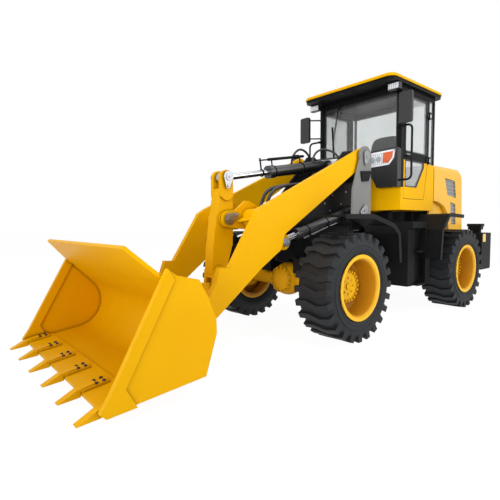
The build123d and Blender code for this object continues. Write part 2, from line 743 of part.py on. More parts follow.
# Steering cylinders: barrel on the rear frame, rod on the front frame
for s, name in ((1, "left_steer"), (-1, "right_steer")):
    base = (STEER_BASE_X, s * STEER_Y, STEER_Z)
    eye = (STEER_EYE_X, s * STEER_Y, STEER_Z)
    with BuildPart() as steer_barrel:
        post(base[0], base[1], 36, STEER_Z - STEER_EYE_HALF, STEER_Z + STEER_EYE_HALF)
        bar((base[0] + 34, base[1], STEER_Z), (base[0] + STEER_BARREL_L, base[1], STEER_Z), STEER_R)
        bar(
            (base[0] + 42, base[1], STEER_Z),
            (base[0] + STEER_BARREL_L, base[1], STEER_Z),
            STEER_ROD_R + 1,
            Mode.SUBTRACT,
        )
        post(
            base[0],
            base[1],
            STEER_PIN_R + FIT,
            STEER_Z - STEER_EYE_HALF,
            STEER_Z + STEER_EYE_HALF,
            Mode.SUBTRACT,
        )
    save(steer_barrel, name + "_cylinder")
    with BuildPart() as steer_rod:
        bar((base[0] + 178, base[1], STEER_Z), (eye[0], eye[1], STEER_Z), STEER_ROD_R)
        post(eye[0], eye[1], 34, STEER_Z - STEER_EYE_HALF, STEER_Z + STEER_EYE_HALF)
    save(steer_rod, name + "_rod")

TAIL_Y = (HOOD_HALF + 10, WEIGHT_HALF - 40)
with BuildPart() as counterweight:
    block(WEIGHT_REAR, WEIGHT_FRONT, -WEIGHT_HALF, WEIGHT_HALF, WEIGHT_BOTTOM, WEIGHT_TOP)
    chamfer(counterweight.edges().filter_by(Axis.Z).sort_by(Axis.X)[:2], 70)
    chamfer(counterweight.faces().sort_by(Axis.Z)[0].edges().sort_by(Axis.X)[0], 90)
    block(WEIGHT_REAR, WEIGHT_REAR + 200, -70, 70, HITCH_Z - 40, HITCH_Z + 40, Mode.SUBTRACT)
    post(HITCH_X, 0, HITCH_R, WEIGHT_BOTTOM, WEIGHT_TOP, Mode.SUBTRACT)
    for s in SIDES:
        lug = span(s, HOOD_HINGE_Y, HOOD_HINGE_Y + 25)
        block(HOOD_HINGE[0] - 16, HOOD_HINGE[0] + 14, *lug, WEIGHT_TOP - 1, HOOD_HINGE[1] + 10)
        disc(HOOD_HINGE, 9, *span(s, HOOD_HINGE_Y - 38, HOOD_HINGE_Y + 25))
        block(
            WEIGHT_FRONT - 170,
            WEIGHT_FRONT - 110,
            *span(s, TAIL_Y[0] + 30, TAIL_Y[1] - 30),
            WEIGHT_TOP - 1,
            WEIGHT_TOP + 105,
        )
        block(
            WEIGHT_FRONT - 200,
            WEIGHT_FRONT - 80,
            *span(s, *TAIL_Y),
            WEIGHT_TOP + 100,
            WEIGHT_TOP + 142,
        )
save(counterweight, "counterweight")

# Engine with its gearbox, both plain, and the shafts to the axles
GEARBOX_FRONT = -1310.0
GEARBOX_REAR = -1760.0
with BuildPart() as engine:
    block(-2560, -1800, -ENGINE_HALF, ENGINE_HALF, 800, 1650)
    block(-1801, GEARBOX_REAR + 1, -ENGINE_HALF + 60, ENGINE_HALF - 60, 800, 1100)
    block(GEARBOX_REAR, GEARBOX_FRONT, -ENGINE_HALF + 30, ENGINE_HALF - 30, SHAFT_Z - 80, 1150)
    for s in SIDES:
        for x in (-2450, -1950):
            block(x - 50, x + 50, *span(s, ENGINE_HALF - 1, FRAME_Y - JOIN), 840, 900)
save(engine, "engine")

DIFF_NOSE = AXLE_Z + 40
with BuildPart() as rear_shaft:
    bar((PIVOT_X, 0, SHAFT_Z), (GEARBOX_FRONT + JOIN, 0, SHAFT_Z), SHAFT_R)
    with Locations((PIVOT_X, 0, SHAFT_Z)):
        Sphere(SHAFT_R + 14)
    bar((GEARBOX_REAR - JOIN, 0, AXLE_Z + 100), (REAR_AXLE_X + DIFF_R * 0.945, 0, AXLE_Z + 100), SHAFT_R)
save(rear_shaft, "rear_drive_shaft")

with BuildPart() as front_shaft:
    bar((PIVOT_X + SHAFT_R + 24, 0, SHAFT_Z), (FRONT_AXLE_X - DIFF_R - 4.5, 0, DIFF_NOSE), SHAFT_R)
save(front_shaft, "front_drive_shaft")

REAR_ARCH = (
    (REAR_AXLE_X + 135, TYRE_R * 2 + 188),
    (REAR_AXLE_X + 560, TYRE_R * 2 + 205),
    (REAR_AXLE_X + 752, TYRE_R * 2),
    (REAR_AXLE_X + 795, TYRE_R + 180),
)
with BuildPart() as rear_fenders:
    for s in SIDES:
        fender(REAR_ARCH, s)
        block(-1245, -1215, *span(s, FRAME_Y + FRAME_T + JOIN, FENDER_IN + 10), 880, 940)
save(rear_fenders, "rear_fenders")

# Platform and steps on both sides
STEP_IN = FRAME_Y + FRAME_T + JOIN
TREAD_Z = (380.0, 800.0)
with BuildPart() as side_steps:
    for s in SIDES:
        block(
            STEP_REAR + 10,
            STEP_FRONT,
            *span(s, STEP_IN, STEP_HALF - TREAD_W),
            TREAD_Z[0],
            STEP_TOP - 80,
        )
        block(STEP_REAR, STEP_FRONT, *span(s, STEP_IN, STEP_HALF), STEP_TOP - 80, STEP_TOP)
        block(
            STEP_FRONT - 170,
            STEP_FRONT,
            *span(s, STEP_HALF - TREAD_W, STEP_HALF - 60),
            TREAD_Z[0],
            STEP_TOP - 79,
        )
        for z in TREAD_Z:
            block(
                STEP_REAR + 10,
                STEP_FRONT - 150,
                *span(s, STEP_HALF - TREAD_W - 1, STEP_HALF),
                z,
                z + 25,
            )
            block(
                STEP_REAR + 10,
                STEP_REAR + 22,
                *span(s, STEP_HALF - TREAD_W - 1, STEP_HALF),
                z,
                z + 60,
            )
save(side_steps, "side_steps")

# Cab: yellow lower body, black frame, glass, roof cap and two doors
DOOR_FRONT = CAB_FRONT - POST - MOVE
DOOR_TOP = CAB_TOP - POST - MOVE
SEAM_LOW = DOOR_REAR + 96
SEAM_TOP = PANEL_TOP + 25
LOW_EDGE = CAB_SILL - MOVE - 1
with BuildPart() as cab_base:
    block(CAB_REAR, CAB_FRONT, -CAB_HALF, CAB_HALF, CAB_FLOOR, CAB_SILL - MOVE)
    block(
        CAB_REAR + WALL,
        CAB_FRONT - WALL,
        -CAB_HALF + WALL,
        CAB_HALF - WALL,
        CAB_FLOOR + WALL,
        CAB_SILL,
        Mode.SUBTRACT,
    )
    block(
        CAB_FRONT - WALL,
        CAB_FRONT,
        -CAB_HALF + POST + JOIN,
        CAB_HALF - POST - JOIN,
        LOW_EDGE,
        COWL_TOP,
    )
    block(CAB_REAR, CAB_REAR + WALL, -CAB_HALF, CAB_HALF, LOW_EDGE, PANEL_TOP)
    for s in SIDES:
        block(CAB_FRONT - POST, CAB_FRONT, *span(s, CAB_HALF - POST - 1, CAB_HALF), LOW_EDGE, CORNER_TOP)
        plate(
            [
                (CAB_REAR, LOW_EDGE),
                (SEAM_LOW - MOVE - 2, LOW_EDGE),
                (DOOR_REAR - MOVE - 2, PANEL_TOP),
                (CAB_REAR, PANEL_TOP),
            ],
            *span(s, CAB_HALF - WALL, CAB_HALF),
        )
        block(-1600, -1500, *span(s, 330, 430), FRAME_TOP + JOIN, CAB_FLOOR)
        block(-1000, -900, *span(s, STEP_IN, 430), STEP_TOP + JOIN, CAB_FLOOR)
save(cab_base, "cab_base")

HINGE_AXIS = (DOOR_REAR - 3, CAB_HALF + 14)
HINGE_Z = (PANEL_TOP + 52, CAB_TOP - 266)
HINGE_HALF = 25.0


def hinge_lugs(side):
    for z in HINGE_Z:
        below = (z - HINGE_HALF - 20, z - HINGE_HALF - FIT)
        above = (z + HINGE_HALF + FIT, z + HINGE_HALF + 20)
        for z0, z1 in (below, above):
            block(
                DOOR_REAR - 45,
                DOOR_REAR + 7,
                *span(side, CAB_HALF + MOVE, CAB_HALF + MOVE + 16),
                z0,
                z1,
            )
            block(
                DOOR_REAR - 45,
                DOOR_REAR - 10,
                *span(side, CAB_HALF - 12, CAB_HALF + MOVE + 2),
                z0,
                z1,
            )
        post(HINGE_AXIS[0], side * HINGE_AXIS[1], 6, z - HINGE_HALF - 10, z + HINGE_HALF + 10)


def hinge_barrels(side):
    for z in HINGE_Z:
        post(HINGE_AXIS[0], side * HINGE_AXIS[1], 11, z - HINGE_HALF, z + HINGE_HALF)
        block(
            HINGE_AXIS[0],
            DOOR_REAR + 45,
            *span(side, CAB_HALF - 2, CAB_HALF + 10),
            z - HINGE_HALF,
            z + HINGE_HALF,
        )
        post(HINGE_AXIS[0], side * HINGE_AXIS[1], 6 + FIT, z - HINGE_HALF, z + HINGE_HALF, Mode.SUBTRACT)


with BuildPart() as cab_frame:
    for s in SIDES:
        hinge_lugs(s)
    for s in SIDES:
        pillar = span(s, CAB_HALF - POST, CAB_HALF)
        block(CAB_FRONT - POST, CAB_FRONT, *pillar, CORNER_TOP + JOIN, CAB_TOP)
        block(
            CAB_REAR,
            CAB_REAR + REAR_POST,
            *span(s, CAB_HALF - REAR_POST, CAB_HALF),
            PANEL_TOP + JOIN,
            CAB_TOP,
        )
        inner = span(s, CAB_HALF - POST, CAB_HALF - MOVE)
        block(DOOR_REAR - DOOR_POST, DOOR_REAR - MOVE, *inner, PANEL_TOP + JOIN, CAB_TOP)
        block(CAB_REAR, CAB_FRONT, *pillar, CAB_TOP - POST, CAB_TOP)
    for x in (CAB_FRONT - POST, CAB_REAR):
        block(x, x + POST, -CAB_HALF, CAB_HALF, CAB_TOP - POST, CAB_TOP)
    with BuildSketch(Plane.XY.offset(CAB_TOP)) as visor:
        with Locations(((ROOF_FRONT + ROOF_REAR) / 2, 0)):
            RectangleRounded(ROOF_FRONT - ROOF_REAR - 24, 2 * ROOF_HALF - 24, 90)
    extrude(amount=VISOR_T)
save(cab_frame, "cab_frame")

with BuildPart() as cab_glass:
    pane = CAB_HALF - POST - JOIN
    head = CAB_TOP - POST - JOIN
    block(CAB_FRONT - 30 - GLASS_T, CAB_FRONT - 30, -pane, pane, COWL_TOP + JOIN, head)
    rear_pane = CAB_HALF - REAR_POST - JOIN
    block(CAB_REAR + 12, CAB_REAR + 12 + GLASS_T, -rear_pane, rear_pane, PANEL_TOP + JOIN, head)
    for s in SIDES:
        side = span(s, CAB_HALF - 14 - GLASS_T, CAB_HALF - 14)
        block(CAB_REAR + REAR_POST + JOIN, DOOR_REAR - DOOR_POST - JOIN, *side, PANEL_TOP + JOIN, head)
save(cab_glass, "cab_glass")

with BuildPart() as roof:
    block(ROOF_REAR, ROOF_FRONT, -ROOF_HALF, ROOF_HALF, VISOR_TOP + JOIN, VISOR_TOP + ROOF_T)
    fillet(roof.edges().filter_by(Axis.Z), 100)
    fillet(roof.faces().sort_by(Axis.Z)[-1].edges(), ROOF_T * 0.7)
save(roof, "roof")

DOOR = [
    (DOOR_FRONT, CAB_SILL),
    (SEAM_LOW, CAB_SILL),
    (DOOR_REAR, SEAM_TOP),
    (DOOR_REAR, DOOR_TOP),
    (DOOR_FRONT, DOOR_TOP),
]
UPPER_PANE = [
    (DOOR_FRONT - DOOR_EDGE, PANEL_TOP + 110),
    (DOOR_REAR + DOOR_EDGE, PANEL_TOP + 110),
    (DOOR_REAR + DOOR_EDGE, DOOR_TOP - DOOR_EDGE),
    (DOOR_FRONT - DOOR_EDGE, DOOR_TOP - DOOR_EDGE),
]
LOWER_PANE = [
    (DOOR_FRONT - DOOR_EDGE, CORNER_TOP + 10),
    (DOOR_FRONT - 325, CORNER_TOP + 10),
    (DOOR_REAR + 95, PANEL_TOP - 55),
    (DOOR_REAR + 95, PANEL_TOP + 12),
    (DOOR_FRONT - DOOR_EDGE, PANEL_TOP + 12),
]


def glazing(points, side):
    """Pane that fills a door opening with an even gap."""
    y0, y1 = span(side, CAB_HALF - 12 - GLASS_T, CAB_HALF - 12)
    with BuildSketch(Plane.XZ.offset(-y1)) as outline:
        Polygon(*points, align=None)
        offset(amount=-JOIN, kind=Kind.INTERSECTION, mode=Mode.REPLACE)
    extrude(outline.sketch, amount=y1 - y0)


for s, name in ((1, "left_door"), (-1, "right_door")):
    with BuildPart() as door:
        plate(DOOR, *span(s, CAB_HALF - DOOR_T, CAB_HALF))
        for opening in (UPPER_PANE, LOWER_PANE):
            plate(opening, *span(s, CAB_HALF - DOOR_T, CAB_HALF), Mode.SUBTRACT)
        hinge_barrels(s)
        block(
            DOOR_FRONT - 150,
            DOOR_FRONT - 40,
            *span(s, CAB_HALF - 1, CAB_HALF + 22),
            PANEL_TOP + 50,
            PANEL_TOP + 75,
        )
    save(door, name)
    with BuildPart() as pane:
        for opening in (UPPER_PANE, LOWER_PANE):
            glazing(opening, s)
    save(pane, name + "_glass")

SEAT_H = CAB_FLOOR + 450
with BuildPart() as operator_seat:
    block(-1480, -1120, -170, 170, CAB_FLOOR + WALL + JOIN, SEAT_H - 150)
    block(-1500, -1040, -245, 245, SEAT_H - 151, SEAT_H)
    plate(
        [(-1390, SEAT_H - 1), (-1500, SEAT_H - 1), (-1590, SEAT_H + 640), (-1500, SEAT_H + 650)],
        -230,
        230,
    )
save(operator_seat, "operator_chair")

WHEEL_C = (-1085.0, CAB_FLOOR + 700)
COLUMN_FOOT = (-910.0, CAB_FLOOR + WALL + JOIN)
with BuildPart() as steering_console:
    block(COLUMN_FOOT[0] - 60, COLUMN_FOOT[0] + 40, -110, 110, COLUMN_FOOT[1], COLUMN_FOOT[1] + 380)
    column = Vector(WHEEL_C[0] - COLUMN_FOOT[0] + 20, 0, WHEEL_C[1] - COLUMN_FOOT[1] - 300)
    bar((COLUMN_FOOT[0] - 20, 0, COLUMN_FOOT[1] + 300), (WHEEL_C[0], 0, WHEEL_C[1]), 30)
    with Locations(Plane(origin=(WHEEL_C[0], 0, WHEEL_C[1]), z_dir=column)):
        Torus(190, 13)
        Cylinder(45, 30)
        with PolarLocations(0, 3):
            with Locations((112, 0, 0)):
                Box(150, 24, 12)
save(steering_console, "steering_console")

# Lamps, mirrors and grab rails
LAMP_CASE = [
    (195, COWL_TOP + 110),
    (222, COWL_TOP + 330),
    (CAB_HALF - 15, COWL_TOP + 345),
    (CAB_HALF, COWL_TOP + 325),
    (CAB_HALF, CORNER_TOP + 4),
    (359, CORNER_TOP + 4),
    (284, COWL_TOP),
]
LENS = [
    (212, COWL_TOP + 122),
    (240, COWL_TOP + 305),
    (CAB_HALF - 30, COWL_TOP + 320),
    (CAB_HALF - 45, COWL_TOP + 215),
    (CAB_HALF - 110, COWL_TOP + 135),
]
LENS_T = 16.0
WORK_LAMP_Z = CAB_TOP - JOIN


def mirrored(points, side):
    """Front-view outline on one side of the centre line."""
    return [(side * y, z) for y, z in points]


with BuildPart() as lamp_housings:
    for s in SIDES:
        front_plate(mirrored(LAMP_CASE, s), CAB_FRONT + JOIN, CAB_FRONT + LAMP_DEPTH)
        front_plate(
            mirrored(LENS, s),
            CAB_FRONT + LAMP_DEPTH - LENS_T,
            CAB_FRONT + LAMP_DEPTH,
            Mode.SUBTRACT,
        )
        lamp = span(s, 540, 690)
        block(MIRROR_X - 70, MIRROR_X - 10, *lamp, WORK_LAMP_Z - 85, WORK_LAMP_Z - 8)
        block(MIRROR_X - 55, MIRROR_X - 25, *span(s, 600, 630), WORK_LAMP_Z - 10, WORK_LAMP_Z)
save(lamp_housings, "lamp_housings")

with BuildPart() as lamp_lenses:
    for s in SIDES:
        lens_x = CAB_FRONT + LAMP_DEPTH - LENS_T + JOIN
        front_plate(mirrored(LENS, s), lens_x, lens_x + LENS_T, inset=JOIN)
        block(MIRROR_X - 10 + JOIN, MIRROR_X, *span(s, 548, 682), WORK_LAMP_Z - 78, WORK_LAMP_Z - 14)
        tail = span(s, TAIL_Y[0] + 15, TAIL_Y[1] - 15)
        block(WEIGHT_FRONT - 208, WEIGHT_FRONT - 200 - JOIN, *tail, WEIGHT_TOP + 106, WEIGHT_TOP + 136)
save(lamp_lenses, "lamp_lenses")

MIRROR_Z = (CAB_TOP - 512, CAB_TOP - 150)
with BuildPart() as mirrors:
    for s in SIDES:
        y0, y1 = span(s, MIRROR_Y, MIRROR_Y + 165)
        block(MIRROR_X - 22, MIRROR_X + 14, y0, y1, *MIRROR_Z)
        fillet(mirrors.edges().filter_by(Axis.X).filter_by_position(Axis.Y, y0 - 1, y1 + 1), 28)
    for s in SIDES:
        for z in (MIRROR_Z[0] + 60, MIRROR_Z[1] - 40):
            block(
                CAB_FRONT + JOIN,
                CAB_FRONT + 16,
                *span(s, CAB_HALF - 42, CAB_HALF - 8),
                z - 15,
                z + 15,
            )
            bar((CAB_FRONT + 12, s * (CAB_HALF - 25), z), (MIRROR_X, s * (MIRROR_Y + 60), z), 10)
save(mirrors, "mirrors")

RAIL_Z = (CORNER_TOP + 84, CAB_TOP - 508)
with BuildPart() as grab_rails:
    for s in SIDES:
        with BuildLine(Plane(origin=(RAIL_X, 0, 0), x_dir=(0, 1, 0), z_dir=(1, 0, 0))) as path:
            FilletPolyline(
                (s * (CAB_HALF - 20), RAIL_Z[1]),
                (s * RAIL_Y, RAIL_Z[1]),
                (s * RAIL_Y, RAIL_Z[0]),
                (s * (CAB_HALF + JOIN), RAIL_Z[0]),
                radius=55,
            )
        with BuildSketch(Plane(origin=path.line @ 0, z_dir=path.line % 0)) as ring:
            Circle(RAIL_R)
        sweep(ring.sketch, path=path.line)
        block(
            CAB_FRONT + JOIN,
            RAIL_X + RAIL_R,
            *span(s, CAB_HALF - 34, CAB_HALF - 6),
            RAIL_Z[1] - 14,
            RAIL_Z[1] + 14,
        )
save(grab_rails, "grab_rails")

# Engine hood: a rounded shell, drawn in above the wheels, with louvred vents
CREASE = (
    (HOOD_FRONT, CAB_SILL + 5),
    (HOOD_FRONT - 138, CAB_SILL),
    (HOOD_FRONT - 348, CAB_SILL - 65),
    (HOOD_FRONT - 468, CAB_SILL - 185),
    (HOOD_FRONT - 503, HOOD_BOTTOM),
)
UPPER_VENT = [(-2046, 1816), (-2384, 1795), (-2434, 1545), (-2141, 1578)]
LOWER_VENT = [(-2245, 1480), (-2420, 1450), (-2440, 1150), (-2285, 1150)]
GRILLE_HALF = 380.0
GRILLE_Z = (1220.0, 1720.0)


def hood_side(inset):
    with BuildSketch(Plane.XZ.offset(-(HOOD_HALF - inset))) as side:
        Polygon(
            (HOOD_FRONT, HOOD_BOTTOM - inset),
            (HOOD_REAR + inset, HOOD_BOTTOM - inset),
            (HOOD_REAR + HOOD_LEAN + inset, HOOD_TOP - inset),
            (HOOD_FRONT, HOOD_TOP - inset),
            align=None,
        )
        fillet(side.vertices().sort_by(Axis.Y)[-2:].sort_by(Axis.X)[:1], HOOD_ROUND - inset)
    return side.sketch


def louvres(z0, z1):
    """Heights of the slats that fill a vent."""
    count = int((z1 - z0) / SLAT_PITCH)
    return [z0 + (i + 0.5) * (z1 - z0) / count for i in range(count)]


def hood_rim(form, inset):
    """Side edges along the top and down the back, which are rounded."""
    half = HOOD_HALF - inset
    return [
        e
        for e in form.edges()
        if abs(abs(e.center().Y) - half) < 1
        and e.center().Z > HOOD_BOTTOM + 5
        and e.center().X < HOOD_FRONT - 5
    ]


with BuildPart() as hood_core:
    extrude(hood_side(HOOD_T), amount=2 * (HOOD_HALF - HOOD_T))
    fillet(hood_rim(hood_core, HOOD_T), HOOD_EDGE_R - HOOD_T)

with BuildPart() as hood:
    extrude(hood_side(0), amount=2 * HOOD_HALF)
    fillet(hood_rim(hood, 0), HOOD_EDGE_R)
    add(hood_core.part, mode=Mode.SUBTRACT)
    low_side = [*CREASE, (HOOD_FRONT, HOOD_BOTTOM)]
    for s in SIDES:
        plate(low_side, *span(s, HOOD_LOW_HALF, HOOD_HALF), Mode.SUBTRACT)
        plate(low_side, *span(s, HOOD_LOW_HALF - HOOD_T, HOOD_LOW_HALF))
        bent_sheet(CREASE, BEND_R, HOOD_T, *span(s, HOOD_LOW_HALF - HOOD_T, HOOD_HALF))
        for vent in (UPPER_VENT, LOWER_VENT):
            plate(vent, *span(s, HOOD_HALF - HOOD_T, HOOD_HALF), Mode.SUBTRACT)
            xs = [x for x, z in vent]
            zs = [z for x, z in vent]
            for z in louvres(min(zs), max(zs)):
                block(
                    min(xs) - 5,
                    max(xs) + 5,
                    *span(s, HOOD_HALF - HOOD_T + 2, HOOD_HALF - 8),
                    z - 7,
                    z + 7,
                )
    block(
        HOOD_REAR - 1,
        HOOD_REAR + HOOD_LEAN + HOOD_T,
        -GRILLE_HALF,
        GRILLE_HALF,
        *GRILLE_Z,
        Mode.SUBTRACT,
    )
    for z in louvres(*GRILLE_Z):
        lean = HOOD_REAR + HOOD_LEAN * (z - HOOD_BOTTOM) / (HOOD_TOP - HOOD_BOTTOM)
        block(lean + 4, lean + HOOD_T - 2, -GRILLE_HALF - 5, GRILLE_HALF + 5, z - 7, z + 7)
    for s in SIDES:
        disc(HOOD_HINGE, 18, *span(s, HOOD_HINGE_Y - 40, HOOD_HINGE_Y - 1))
        knuckle = span(s, HOOD_HINGE_Y - 40, HOOD_HINGE_Y - 1)
        block(HOOD_HINGE[0], HOOD_REAR + 4, *knuckle, HOOD_HINGE[1], HOOD_HINGE[1] + 30)
        disc(HOOD_HINGE, 9 + FIT, *span(s, HOOD_HINGE_Y - 40, HOOD_HINGE_Y - 1), Mode.SUBTRACT)
save(hood, "hood")
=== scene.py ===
# %% [markdown]
# # A wheel loader, dressed for its portrait
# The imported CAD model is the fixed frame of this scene: every pin, plate and wheel is already in place.
# What is left for Blender is what the eye reads from a step away, the paint, rubber, glass and chrome,
# and the small fittings that a solid model leaves out, such as bolts, keeper plates, hoses and seals.

import math

import bmesh
import bpy
from mathutils import Matrix, Vector


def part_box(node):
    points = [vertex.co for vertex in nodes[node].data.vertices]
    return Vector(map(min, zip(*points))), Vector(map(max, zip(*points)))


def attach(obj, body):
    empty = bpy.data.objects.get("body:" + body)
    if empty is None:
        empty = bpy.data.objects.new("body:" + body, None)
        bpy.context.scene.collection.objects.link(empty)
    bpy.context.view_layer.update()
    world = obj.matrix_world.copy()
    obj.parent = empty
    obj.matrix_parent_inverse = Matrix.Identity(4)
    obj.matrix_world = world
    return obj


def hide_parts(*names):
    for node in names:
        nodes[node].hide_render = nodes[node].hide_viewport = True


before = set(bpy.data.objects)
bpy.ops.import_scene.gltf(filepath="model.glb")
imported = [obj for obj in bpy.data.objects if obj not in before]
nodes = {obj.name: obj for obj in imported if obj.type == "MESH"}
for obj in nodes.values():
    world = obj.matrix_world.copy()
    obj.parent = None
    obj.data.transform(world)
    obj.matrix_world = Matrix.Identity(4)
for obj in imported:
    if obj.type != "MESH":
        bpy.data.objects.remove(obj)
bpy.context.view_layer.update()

# %% [markdown]
# ## The camera
# The view was solved from points that are easy to find on such a machine, the tyre edges, bucket teeth
# and roof corners. It stands to the left of the bucket, about a metre up, with a fairly wide lens, so the
# bucket looms and the counterweight shrinks. A constraint could aim the camera, but that leaves no roll,
# so its three axes are worked out here and become the columns of its matrix.

# %% Camera
CAMERA_AT = Vector((3.8723, 3.2355, 1.1717))
YAW = 0.8637
PITCH = 0.0645
ROLL = -0.0062
LENS_MM = 28.83
SENSOR_MM = 36.0
ahead = Vector((-math.cos(YAW) * math.cos(PITCH), -math.sin(YAW) * math.cos(PITCH), -math.sin(PITCH)))
sideways = ahead.cross(Vector((0, 0, 1))).normalized()
upright = sideways.cross(ahead)
right = sideways * math.cos(ROLL) + upright * math.sin(ROLL)
up = upright * math.cos(ROLL) - sideways * math.sin(ROLL)
eye = bpy.data.cameras.new("portrait_camera")
eye.lens = LENS_MM
eye.sensor_width = SENSOR_MM
eye.clip_end = 200.0
camera = bpy.data.objects.new("portrait_camera", eye)
camera.matrix_world = Matrix.Translation(CAMERA_AT) @ Matrix((right, up, -ahead)).transposed().to_4x4()
bpy.context.scene.collection.objects.link(camera)
bpy.context.scene.camera = camera
print("camera looks along", [round(v, 3) for v in ahead])

# %% [markdown]
# ## Colours and nodes
# Colours are written as they look on a screen, in sRGB hex, and Blender's nodes want linear light, so one
# function translates. A second function adds a node with its settings and links, which keeps each finish
# short enough to read in one go. Texture coordinates are the object's own, in metres, so a pattern stays
# the same real size on every piece and turns with it, and each pattern's scale is one over its real size.

# %% Colour and node helpers
MM = 0.001


def colour(hex_code):
    """Linear colour of an sRGB hex code."""
    parts = [int(hex_code[i : i + 2], 16) / 255 for i in (1, 3, 5)]
    return (*[p / 12.92 if p <= 0.04045 else ((p + 0.055) / 1.055) ** 2.4 for p in parts], 1.0)


def add(tree, kind, values=None, links=None):
    """One shader node with its settings, input values and links."""
    made = tree.nodes.new("ShaderNode" + kind)
    for key, value in (values or {}).items():
        if isinstance(key, int) or key in made.inputs:
            made.inputs[key].default_value = value
        else:
            setattr(made, key, value)
    for key, source in (links or {}).items():
        tree.links.new(source, made.inputs[key])
    return made


def blank_finish(name):
    """An empty material with its tree and its object coordinates."""
    finish = bpy.data.materials.new(name)
    finish.use_nodes = True
    finish.node_tree.nodes.clear()
    return finish, finish.node_tree, add(finish.node_tree, "TexCoord").outputs["Object"]


print("the yellow in linear light:", [round(v, 3) for v in colour("#E1A400")])

# %% [markdown]
# ## Floor and backdrop
# The machine stands in front of plain white. Strong lamps could bleach a backdrop to white, but they
# would bleach the paint too. So the world and the floor themselves show white to the camera, in
# reflections and through glass, while the light that falls on the paint stays at a plain level, and the
# colours render about as written. The floor is matt paper that keeps a tenth of its own shading, and with
# it a faint shadow.

# %% White world
LIT_STRENGTH = 0.4
SHOWN_STRENGTH = 1.0


def seen_share(tree):
    """One for rays from the camera, in reflections and through glass, zero for light on a surface."""
    ray = add(tree, "LightPath").outputs
    direct = {0: ray["Is Camera Ray"], 1: ray["Is Transmission Ray"]}
    clear = add(tree, "Math", {"operation": "MAXIMUM"}, direct)
    shown = add(tree, "Math", {"operation": "MAXIMUM"}, {0: clear.outputs[0], 1: ray["Is Glossy Ray"]})
    return shown.outputs[0]


world = bpy.data.worlds.new("white_studio")
bpy.context.scene.world = world
world.use_nodes = True
studio = world.node_tree
studio.nodes.clear()
strength = add(studio, "MapRange", {"To Min": LIT_STRENGTH, "To Max": SHOWN_STRENGTH},
               {"Value": seen_share(studio)})
sky = add(studio, "Background", {"Color": (1, 1, 1, 1)}, {"Strength": strength.outputs[0]})
add(studio, "OutputWorld", None, {"Surface": sky.outputs[0]})
print("world lights at", LIT_STRENGTH, "and shows at", SHOWN_STRENGTH)

# %% Paper floor
PAPER_GLOW = 1.06
GLOW_SHARE = 0.9
FLOOR_HALF = 60
floor_white, tree, _ = blank_finish("white_paper_floor")
paper = add(tree, "BsdfDiffuse", {"Color": colour("#F2F2F2")})
glow = add(tree, "Emission", {"Color": (1, 1, 1, 1), "Strength": PAPER_GLOW})
share = add(tree, "Math", {"operation": "MULTIPLY", 1: GLOW_SHARE}, {0: seen_share(tree)})
mixed = add(tree, "MixShader", None, {0: share.outputs[0], 1: paper.outputs[0], 2: glow.outputs[0]})
add(tree, "OutputMaterial", None, {"Surface": mixed.outputs[0]})

paper_roll = bmesh.new()
bmesh.ops.create_grid(paper_roll, x_segments=4, y_segments=4, size=FLOOR_HALF)
floor_mesh = bpy.data.meshes.new("floor")
paper_roll.to_mesh(floor_mesh)
paper_roll.free()
floor = bpy.data.objects.new("floor", floor_mesh)
floor_mesh.materials.append(floor_white)
bpy.context.scene.collection.objects.link(floor)
bpy.context.scene.view_settings.view_transform = "Standard"
print("floor is", 2 * FLOOR_HALF, "m wide")

# %% [markdown]
# ## Soft boxes
# A small lamp draws hard spots on gloss paint, so a machine like this is lit with large soft boxes: one
# overhead, one to the left and one in front. The fourth is a small box with a grid that keeps its beam
# narrow, and it lifts the tower and the cab front.


# %% Four soft boxes
def soft_box(name, at, aim, size, watts, spread=180):
    """A square soft box that faces a point, with a grid that narrows its spread in degrees."""
    lamp = bpy.data.lights.new(name, "AREA")
    lamp.shape = "SQUARE"
    lamp.size = size
    lamp.energy = watts
    lamp.spread = math.radians(spread)
    holder = bpy.data.objects.new(name, lamp)
    holder.location = at
    holder.rotation_euler = (Vector(aim) - Vector(at)).to_track_quat("-Z", "Y").to_euler()
    bpy.context.scene.collection.objects.link(holder)


soft_box("overhead_box", (0.5, 2.0, 9.0), (0, 0, 1), 8.0, 500)
soft_box("left_box", (-3.6, 8.0, 3.6), (-1.4, 0.4, 1.3), 5.0, 285)
soft_box("front_box", (9.5, 2.5, 3.2), (0, 0, 1.0), 5.0, 300)
soft_box("fill_box", (5.5, 4.0, 1.8), (-0.9, 0.4, 1.5), 2.0, 14, spread=40)
print("stage with", len(bpy.data.lights), "soft boxes")

# %% [markdown]
# ## Enamel
# Loader plate work is sprayed with a thick two-part enamel. It is slightly orange-peeled, and never quite
# even: the coat is a little deeper here and thinner there. A painted texture could hold all that, but it
# would have to be drawn for each plate. Noise in metres works on all of them: a slow one moves the
# colour, a finer one the gloss, and the finest gives the peel. Orange peel is about 3 mm across on the
# real paint and is drawn at 8 mm so that it shows. Where the painter uses masking tape, as on the doors
# that turn black above the waist, the same coat takes a second colour inside a box given in metres, and
# such boxes also carry painted highlights and painted reflections. An occlusion node paints shade into
# the nooks where plates meet, darkening the last 45 mm of each corner, which draws the thin dark seams.


# %% Colour boxes and painted nook shade
def box_colour_coat(tree, coat, axes, reach, shade):
    """The coat with a second colour inside one box: two-tone paint, and also painted highlights and
    reflections.
    """
    in_box = None
    for axis, (low, high) in zip(axes, reach):
        middle_and_half = {"operation": "COMPARE", 1: (low + high) / 2, 2: (high - low) / 2}
        near = add(tree, "Math", middle_and_half, {0: axis}).outputs[0]
        if in_box is None:
            in_box = near
        else:
            in_box = add(tree, "Math", {"operation": "MULTIPLY"}, {0: in_box, 1: near}).outputs[0]
    layer = add(tree, "Mix", {"data_type": "RGBA", 7: colour(shade)}, {0: in_box, 6: coat})
    return layer.outputs[2]


